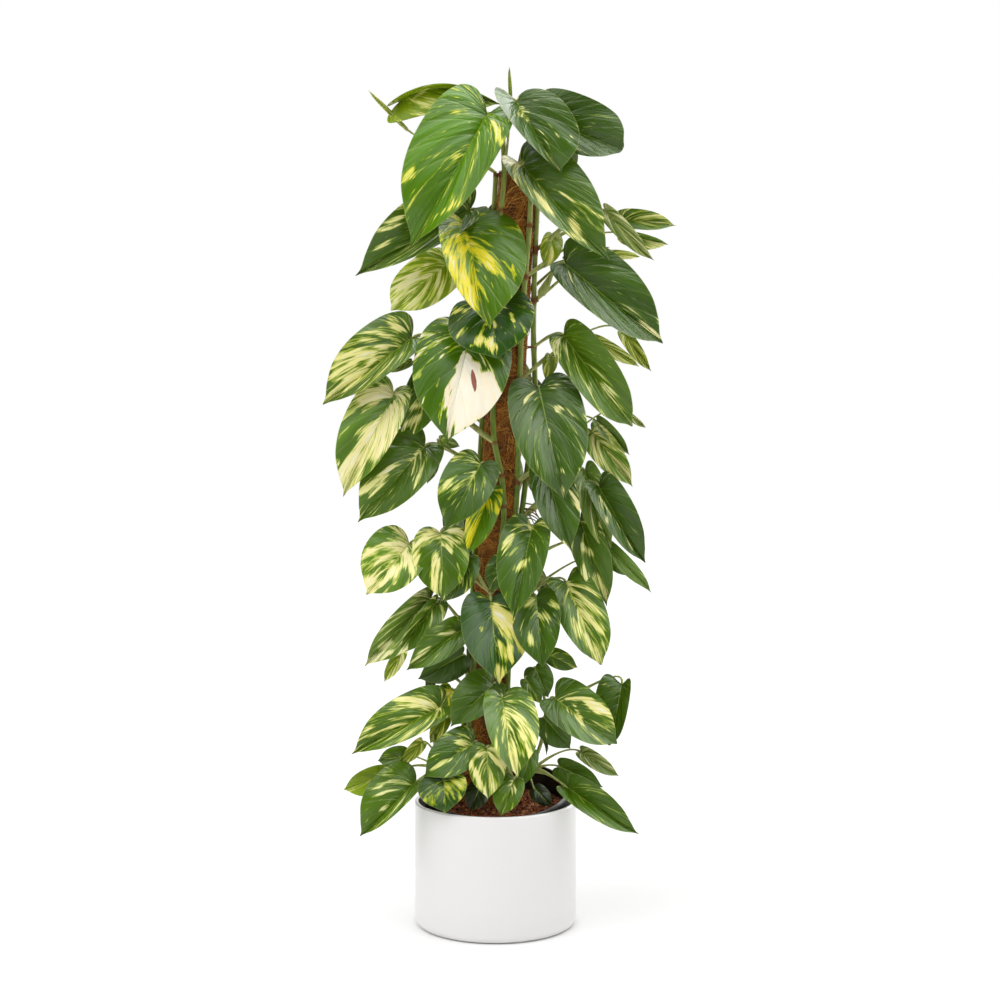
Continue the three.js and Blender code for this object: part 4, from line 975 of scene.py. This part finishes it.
# One leaf's points, its triangles, and what its finish reads: colours and seed on the vertices, the rest on
# the corners. veinSpace is in 100 mm: u less a lean forwards, 5 further on for the second half, and v.
def leafMesh(leaf, number, cell, cells):
    random = np.random.default_rng(number)
    leaf["curl"] = random.uniform(*leafShape["curl"])
    points, triangles, fields = leafGrids(leaf, random)
    plan = flatPlan(fields, triangles, cell, cells)
    corner = {key: values[triangles] for key, values in fields.items()}
    points, triangles, whole = weld(points, triangles)
    corner = {key: values[whole] for key, values in corner.items()}
    forward = (corner["u"] - 0.12 * corner["v"]) * (leaf["length"] / 100)
    skin = np.stack([forward + 5 * (corner["side"] < 0), corner["v"] * (leaf["half"] / 100)], -1)
    vary = 1 + random.uniform(-0.1, 0.1)
    colours = zip(("leafGreen", "leafLime", "leafCream"), looks[leaf["look"]])
    read = {key: np.tile(np.array(linear(colour)[:3]) * vary, (len(points), 1)) for key, colour in colours}
    read["leafSeed"] = np.full(len(points), number * 1.37)
    for key, field in (("underside", "back"), ("pale", "pale"), ("scar", "scar"), ("outwards", "v")):
        read[key] = corner[field].ravel()
    read["veinPhase"] = corner["u"].ravel() * leafShape["veins"]
    return points, triangles, read, {"veinSpace": skin.reshape(-1, 2), "OFBake": plan[whole].reshape(-1, 2)}


# A pothos blade: thin, waxy and softly pleated, green with streaks that run out along its veins, first
# lime and then cream where the green fails. The rib is a fine light line, and the underside is duller and
# greyer. The first five pairs are how many there are in 100 mm round the edge and out along the veins:
# bands are 50 mm wide, folds 18 mm, streaks 9 mm wide and 60 mm long, fine ones 3 and 20 mm, and flecks
# 2.5 and 12 mm.
leafFinish = {
    "band": (1.9, 0.6), "streak": (11.0, 1.7), "fine": (30.0, 5.0), "speck": (40.0, 8.0),
    "fold": (5.5, 0.7), "weights": {"band": 0.26, "streak": 0.42, "fine": 0.32}, "contrast": 5.0,
    "flecks": (0.63, 0.73, 0.32),  # noise where they start and are full, and how much they pale
    "toLime": (0.34, 0.45), "toCream": (0.47, 0.78), "toIvory": (0.95, 1.5),  # paleness: starts, full
    "ivory": "#fffbe8", "rib": "#a9c054", "edge": "#bcc873", "below": "#74855a", "scar": "#96523c",
    "ribTint": 0.5, "veinTint": 0.07, "edgeTint": 0.35, "belowTint": 0.42,  # how strong each is
    "ribWide": (0.7, 1.8),  # half widths in mm of its clear line and of its fading edge
    "gloss": 0.3, "dull": 0.6, "relief": 1.2,
}


def waxyPothosLeaf():
    finish = leafFinish
    material, tree, surface = newMaterial("waxyPothosLeaf", 1.42)
    colours = ("leafGreen", "leafLime", "leafCream")
    read = {key: addNode(tree, "Attribute", out="Vector" if key in colours else "Fac", attribute_name=key)
            for key in (*colours, "leafSeed", "underside", "pale", "scar", "outwards", "veinPhase")}
    skin = addNode(tree, "UVMap", uv_map="veinSpace")
    fromRib = addNode(tree, "SeparateXYZ", {0: skin}, out=1)
    seed = addNode(tree, "CombineXYZ", {2: read["leafSeed"]})
    fields = {}
    for key, detail in (("band", 2.0), ("streak", 2.5), ("fine", 2.5), ("speck", 1.0), ("fold", 1.0)):
        place = addNode(tree, "VectorMath", {0: skin, 1: (*finish[key], 1.0), 2: seed},
                        operation="MULTIPLY_ADD")
        fields[key] = addNode(tree, "TexNoise", {"Vector": place, "Scale": 1.0, "Detail": detail})
    mixed = -0.5
    for key, weight in finish["weights"].items():
        mixed = addNode(tree, "Math", {0: fields[key], 1: weight, 2: mixed}, operation="MULTIPLY_ADD")
    start, full, strength = finish["flecks"]
    flecks = addNode(tree, "MapRange", {0: fields["speck"], 1: start, 2: full, 4: strength})
    pale = addNode(tree, "Math", {0: read["pale"], 1: flecks}, operation="ADD")
    value = addNode(tree, "Math", {0: mixed, 1: finish["contrast"], 2: pale}, operation="MULTIPLY_ADD")
    # the green is scaled by the fold noise that also raises the relief: partly tone that varies along the
    # folds, partly painted shade in their hollows and painted light on their crests
    foldToneAndShade = addNode(tree, "MapRange", {0: fields["fold"], 1: 0.3, 2: 0.7, 3: 0.78, 4: 1.2})
    colour = addNode(tree, "VectorMath", {0: read["leafGreen"], "Scale": foldToneAndShade}, operation="SCALE")
    for key, most, ease, tint in (("toLime", 1.0, "SMOOTHSTEP", read["leafLime"]),
                                  ("toCream", 1.0, "SMOOTHSTEP", read["leafCream"]),
                                  ("toIvory", 0.75, "LINEAR", linear(finish["ivory"]))):
        start, full = finish[key]
        share = addNode(tree, "MapRange", {0: value, 1: start, 2: full, 4: most}, interpolation_type=ease)
        colour = addNode(tree, "Mix", {0: share, 6: colour, 7: tint}, out=2, data_type="RGBA")
    turn = read["veinPhase"]
    for step in ("FRACT", "SUBTRACT", "ABSOLUTE"):  # 0.5 on a vein, 0 halfway between two
        turn = addNode(tree, "Math", {0: turn, 1: 0.5}, operation=step)
    vein = addNode(tree, "MapRange", {0: turn, 1: 0.4, 2: 0.5}, interpolation_type="SMOOTHSTEP")
    clear, faded = [wide / 100 for wide in finish["ribWide"]]
    rib = addNode(tree, "MapRange", {0: fromRib, 1: faded, 2: clear}, interpolation_type="SMOOTHSTEP")
    veinTint = addNode(tree, "MapRange", {0: vein, 4: finish["veinTint"]})
    ribTint = addNode(tree, "MapRange", {0: rib, 4: finish["ribTint"]})
    lines = addNode(tree, "Math", {0: veinTint, 1: ribTint}, operation="MAXIMUM")
    edge = addNode(tree, "MapRange", {0: read["outwards"], 1: 0.985, 2: 1.0, 4: finish["edgeTint"]})
    healed = addNode(tree, "MapRange", {0: read["scar"], 1: 0.35, 2: 0.5})
    below = addNode(tree, "MapRange", {0: read["underside"], 4: finish["belowTint"]})
    for share, tint in ((lines, "rib"), (edge, "edge"), (healed, "scar"), (below, "below")):
        colour = addNode(tree, "Mix", {0: share, 6: colour, 7: linear(finish[tint])}, out=2,
                         data_type="RGBA")
    rough = addNode(tree, "MapRange", {0: read["underside"], 3: finish["gloss"], 4: finish["dull"]})
    relief = fields["fine"]
    for field, weight in ((vein, -0.35), (fields["fold"], 5.0), (fields["streak"], 1.2)):
        relief = addNode(tree, "Math", {0: field, 1: weight, 2: relief}, operation="MULTIPLY_ADD")
    dress(tree, surface, colour, rough, relief, finish["relief"])
    return material


leaves = [leafFrame(row) for row in leafRows]
byName = {leaf["name"]: leaf for leaf in leaves}
leaves += [turnedFrame(byName[name], degrees, rise) for name, degrees, rise in farLeaves]
for leaf in leaves:
    leaf["owner"] = shoots[leaf["stem"]][0] if leaf["stem"] in shoots else leaf["stem"]
    leaf["spring"] = springPoint(leaf["stem"], leaf["base"])
pieceCounts = {"left": 6, "right": 6, "back": 4}


# Each stem's leaves are dealt by height into pieces that all run the whole way up.
def makeLeaves():
    finish = waxyPothosLeaf()
    total = 0
    for owner, count in pieceCounts.items():
        own = sorted((i for i, leaf in enumerate(leaves) if leaf["owner"] == owner),
                     key=lambda i: leaves[i]["base"][2])
        for k in range(count):
            dealt = own[k::count]
            cells = math.ceil(math.sqrt(2 * len(dealt)))
            made = [leafMesh(leaves[i], i + 1, cell, cells) for cell, i in enumerate(dealt)]
            points, triangles, paints, plans = zip(*made)
            starts = np.cumsum([0] + [len(some) for some in points[:-1]])
            triangles = np.concatenate([some + start for some, start in zip(triangles, starts)])
            paint = {key: np.concatenate([some[key] for some in paints]) for key in paints[0]}
            maps = {key: np.concatenate([some[key] for some in plans]) for key in plans[0]}
            makePiece(f"leaves{owner.title()}{k + 1}", np.concatenate(points), triangles, finish,
                      "vine_" + owner, paint, maps)
            total += len(triangles)
    print("leaves made:", len(leaves), "in", total, "triangles")


# Stems and stalks: smooth waxy green, paler on the young parts, with corky brown rings at the joints
# and brown skin low down. The roots that grip the pole are dull brown.
def greenStem():
    material, tree, surface = newMaterial("waxyGreenStem", 1.45)
    place = addNode(tree, "TexCoord", out="Object")
    brown, pale = [addNode(tree, "Attribute", out="Fac", attribute_name=key) for key in ("brown", "pale")]
    stretched = addNode(tree, "Mapping", {"Vector": place, "Scale": (1.0, 1.0, 0.25)})
    streaks = addNode(tree, "TexNoise", {"Vector": stretched, "Scale": 240.0, "Detail": 3.0})  # 4 mm wide
    patches = addNode(tree, "TexNoise", {"Vector": place, "Scale": 30.0, "Detail": 3.0})  # 33 mm wide
    toDark = addNode(tree, "MapRange", {0: streaks, 1: 0.45, 2: 0.7, 4: 0.6})
    worn = addNode(tree, "Math", {0: brown, 1: patches}, operation="ADD")
    toBrown = addNode(tree, "MapRange", {0: worn, 1: 0.85, 2: 1.2}, interpolation_type="SMOOTHSTEP")
    colour = linear(stemShape["green"])
    for share, tint in ((pale, "pale"), (toDark, "dark"), (toBrown, "brown")):
        colour = addNode(tree, "Mix", {0: share, 6: colour, 7: linear(stemShape[tint])}, out=2,
                         data_type="RGBA")
    rough = addNode(tree, "MapRange", {0: toBrown, 3: 0.42, 4: 0.8})
    dress(tree, surface, colour, rough, streaks, 0.3)
    return material


# A stalk leaves its stem outwards, rises, and comes down to the leaf from behind its lobes: one cubic
# curve. Its lower half is widened to the flat sheath that once held the next leaf, brown at its foot.
def leafStalks(own):
    shape = stemShape
    sides, s = shape["stalkSides"], np.linspace(0, 1, shape["stalkSteps"])
    start, end, along, face, across = [np.array([leaf[key] for leaf in own])
                                       for key in ("spring", "base", "along", "face", "across")]
    length = np.array([leaf["length"] for leaf in own])[:, None]
    reach = np.linalg.norm(end - start, axis=1, keepdims=True)
    out = unit((end - start) * [1, 1, 0])
    first = start + out * shape["stalkOut"] * reach + np.array([0, 0, 1]) * shape["stalkUp"] * reach
    second = end - along * shape["stalkBehind"] * reach - face * shape["stalkUnder"] * reach
    t = s[None, :, None]
    paths = ((1 - t) ** 3 * start[:, None] + 3 * (1 - t) ** 2 * t * first[:, None]
             + 3 * (1 - t) * t ** 2 * second[:, None] + t ** 3 * end[:, None])
    thick = shape["stalkRadius"] + shape["stalkGrowth"] * length
    radii = thick * (1 + 0.3 * (1 - s) ** 2 + 0.28 * np.exp(-((s - 0.93) / 0.04) ** 2))
    widened = shape["sheath"] * np.clip(length / shape["sheathFrom"], 0.3, 1)
    sheath = 1 + widened * smoothRise(0.62, 0.25, s) * smoothRise(-0.05, 0.1, s)
    points, triangles = tubes(paths, radii, sides, across[:, None] + 0 * paths, sheath)
    pale = np.repeat(np.where(end[:, 0] < shape["paleUpTo"], *shape["stalkPale"]), len(s) * sides)
    ridge = 0.5 * np.abs(np.cos(0.2 * np.pi * np.arange(sides))) ** 4
    brown = np.repeat(0.45 * smoothRise(0.3, 0.0, s), sides)
    return points, triangles, {"brown": np.tile(brown, len(own)),
                               "pale": pale + np.tile(ridge, len(s) * len(own))}


# A climber is a tube that swells to a brown ring at each joint and slims towards its top: its radius x
# (1 + thicker + swell x a Gaussian of the steps to the joint) x (1 - slim x a smooth rise with height).
# It is browner low down and paler high up, with a pale ridge along either side.
def climberTube(path):
    shape = stemShape
    sides, finer = shape["sides"], shape["finer"]
    height = path[:, 2]
    joint = np.abs((np.arange(len(path)) + finer / 2) % finer - finer / 2)
    ring = np.exp(-(joint / 0.8) ** 2)
    slim = 1 - shape["slim"] * smoothRise(*shape["slimAbove"], height)
    radii = shape["radius"] * (1 + shape["thicker"] + shape["swell"] * ring) * slim
    points, triangles = tubes(path[None], radii[None], sides, tubeLead + 0 * path[None])
    brown = 0.2 + 0.55 * ring + 0.35 * smoothRise(*shape["brownBelow"], height)
    pale = np.repeat(0.05 + 0.3 * smoothRise(*shape["paleAbove"], height), sides)
    ridge = 0.6 * np.abs(np.cos(2 * np.pi * np.arange(sides) / sides)) ** 4
    return points, triangles, {"brown": np.repeat(brown, sides), "pale": pale + np.tile(ridge, len(path))}


# From each joint some roots run round the pole: turn, height and distance off go in straight steps from
# the joint to the pole and round it, with a little waver.
def clingingRoots(points, random):
    shape, pole = stemShape, poleShape
    joints = np.repeat(climberGuide(points)[2:], shape["roots"], axis=0)
    count, step = len(joints), np.linspace(0, 1, shape["rootSteps"])
    swing = random.choice([-1, 1], count) * random.uniform(*shape["rootSwing"], count)
    degrees = joints[:, 1:2] + swing[:, None] * step + random.normal(0, 3, (count, len(step))) * step
    height = joints[:, :1] + random.uniform(-shape["rootRise"], shape["rootRise"], (count, 1)) * step
    height = height + random.normal(0, 1.2, (count, len(step))) * step
    height = np.minimum(height, pole["top"] - 8)
    off = pole["radius"] + 1.4 + (joints[:, 2:] + 3.4) * np.clip(1 - 3.2 * step, 0, 1)
    paths = aroundPole(height, degrees, off)
    radii = shape["rootRadius"] - 0.7 * step
    made = tubes(paths, radii, shape["rootSides"], unit(paths - poleMiddle(height)))
    return *made, {"brown": 1.0, "pale": 0.0}


looseKnot = {"count": 18, "low": 664.0, "high": 726.0, "reach": (16, 36), "fall": (4, 46), "radius": 1.6,
             "steps": 12, "sides": 6, "seed": 5}


# A knot of roots that found no pole: each leaves the climber, out x a sine + fall t^2 + a waver, and hangs.
def looseRoots(path):
    knot = looseKnot
    one = (knot["count"], 1)
    random = np.random.default_rng(knot["seed"])
    near = path[(path[:, 2] > knot["low"]) & (path[:, 2] < knot["high"])]
    start = near[random.integers(len(near), size=knot["count"])]
    t = np.linspace(0, 1, knot["steps"])[None, :, None]
    aside = random.choice([-1, 1], one, p=[0.35, 0.65])
    out = random.uniform(*knot["reach"], one) * np.hstack([aside, random.uniform(-0.7, 0.1, one),
                                                           random.uniform(-0.3, 0.35, one)])
    fall = random.uniform(*knot["fall"], one) * [0, 0, -1]
    waver = random.normal(0, 3.0, (*one, 3)) * np.sin(2.2 * np.pi * t) * t
    paths = start[:, None] + out[:, None] * np.sin(0.5 * np.pi * t) + fall[:, None] * t ** 2 + waver
    lead = np.array([0.02, 1.0, 0.03]) + 0 * paths
    made = tubes(paths, knot["radius"] * (1 - 0.55 * t[..., 0]), knot["sides"], lead)
    return *made, {"brown": 0.5, "pale": 0.25}


# A shoot is a thinner tube through its own points, narrowing with the square of the way along it.
def shootTube(name):
    path = smoothCurve(stemPaths[name][0], stemShape["shootSteps"])
    radii = (stemShape["radius"] - 1) * (1 - 0.35 * np.linspace(0, 1, len(path)) ** 2)
    made = tubes(path[None], radii[None], stemShape["sides"], tubeLead + 0 * path[None])
    return *made, {"brown": 0.25, "pale": 0.4}


def makeStems():
    finish = greenStem()
    for owner, lists in climbers.items():
        random = np.random.default_rng(rootSeeds[owner])
        parts = []
        for points in lists:
            path = alongClimber(climberGuide(points, stemShape["finer"]))
            parts += [climberTube(path), clingingRoots(points, random)]
            if owner == "right" and points is lists[0]:
                parts.append(looseRoots(path))
        parts += [shootTube(name) for name, (source, _) in shoots.items() if source == owner]
        parts.append(leafStalks([leaf for leaf in leaves if leaf["owner"] == owner]))
        points, triangles, paint = together(parts)
        makePiece("stems" + owner.title(), points, triangles, finish, "vine_" + owner, paint)
        print(owner, "stems made:", len(triangles), "triangles")


makeLeaves()
makeStems()


studio = {
    "key": {"place": (-2.6, -1.7, 3.0), "aim": (0, 0, 0.7), "size": (3.0, 3.0), "watts": 35},
    "fill": {"place": (3.0, -0.6, 2.6), "aim": (0, 0, 0.6), "size": (3.0, 3.0), "watts": 8},
    # the dome: it brightens from one height to another, from one strength to another; and the same for
    # what gloss mirrors, by how far that lies towards shineSide
    "glow": (0.25, 0.85, 0.08, 1.85), "shine": (0.2, 0.95, 0.04, 6.0), "shineSide": (0.5, 0.15, 0.85),
    "floor": "#e4e4e4", "floorTooth": "#fbfbfb", "floorWide": 24.0,
}


# The sweep is matt white paper with a tooth of about 1 mm.
def makeStage():
    half = studio["floorWide"] / 2
    corners = [(-half, -half, 0), (half, -half, 0), (half, half, 0), (-half, half, 0)]
    mesh = bpy.data.meshes.new("studioFloor")
    mesh.from_pydata(corners, [], [(0, 1, 2, 3)])
    material, tree, surface = newMaterial("whitePaperSweep", 1.5)
    place = addNode(tree, "TexCoord", out="Object")
    tooth = addNode(tree, "TexNoise", {"Vector": place, "Scale": 900.0, "Detail": 2.0})
    colour = addNode(tree, "Mix", {0: tooth, 6: linear(studio["floor"]), 7: linear(studio["floorTooth"])},
                     out=2, data_type="RGBA")
    dress(tree, surface, colour, 0.9, tooth, 0.02)
    surface["Specular IOR Level"].default_value = 0.0
    mesh.materials.append(material)
    floor = bpy.data.objects.new("studioFloor", mesh)
    bpy.context.scene.collection.objects.link(floor)


# stands an object at place with its own -Z pointing at aim
def turnTowards(thing, place, aim):
    away = unit(np.array(place, float) - np.array(aim, float))
    aside = unit(np.cross([0, 0, 1.0], away))
    up = np.cross(away, aside)
    thing.matrix_world = Matrix([[aside[i], up[i], away[i], place[i]] for i in range(3)] + [[0, 0, 0, 1]])


# Two softboxes, and a white dome that is brighter overhead. What is glossy mirrors one bright side of it.
def makeLights():
    for name in ("key", "fill"):
        given = studio[name]
        lamp = bpy.data.lights.new(name + "Softbox", "AREA")
        lamp.shape = "RECTANGLE"
        lamp.size, lamp.size_y = given["size"]
        lamp.energy = given["watts"]
        holder = bpy.data.objects.new(name + "Softbox", lamp)
        bpy.context.scene.collection.objects.link(holder)
        turnTowards(holder, given["place"], given["aim"])
    world = bpy.data.worlds.new("whiteStudio")
    bpy.context.scene.world = world
    world.use_nodes = True
    tree = world.node_tree
    tree.nodes.clear()
    place = addNode(tree, "TexCoord", out="Generated")
    height = addNode(tree, "SeparateXYZ", {0: place}, out=2)
    facing = addNode(tree, "VectorMath", {0: place, 1: studio["shineSide"]}, out="Value",
                     operation="DOT_PRODUCT")
    glow, shine = [addNode(tree, "MapRange", {0: source, 1: low, 2: high, 3: dim, 4: bright})
                   for source, (low, high, dim, bright) in ((height, studio["glow"]),
                                                            (facing, studio["shine"]))]
    mirrored = addNode(tree, "LightPath", out="Is Glossy Ray")
    seen = addNode(tree, "LightPath", out="Is Camera Ray")
    strength = addNode(tree, "Mix", {0: mirrored, 2: glow, 3: shine}, data_type="FLOAT")
    strength = addNode(tree, "Mix", {0: seen, 2: strength, 3: 1.0}, data_type="FLOAT")
    light = addNode(tree, "Background", {0: (1.0, 1.0, 1.0, 1.0), 1: strength})
    tree.links.new(light, tree.nodes.new("ShaderNodeOutputWorld").inputs[0])
    bpy.context.scene.view_settings.view_transform = "Standard"


# The camera stands at the eye and its frame is as wide as the board.
def makeCamera():
    reach = np.linalg.norm(sight["boardMiddle"] - sight["eye"])
    camera = bpy.data.cameras.new("view")
    camera.sensor_width = 36.0
    camera.lens = camera.sensor_width * reach / sight["boardWidth"]
    camera.clip_end = 60.0
    holder = bpy.data.objects.new("view", camera)
    bpy.context.scene.collection.objects.link(holder)
    turnTowards(holder, sight["eye"] * metresPerMm, sight["boardMiddle"] * metresPerMm)
    bpy.context.scene.camera = holder


makeStage()
makeLights()
makeCamera()
print("floor, light and camera set")
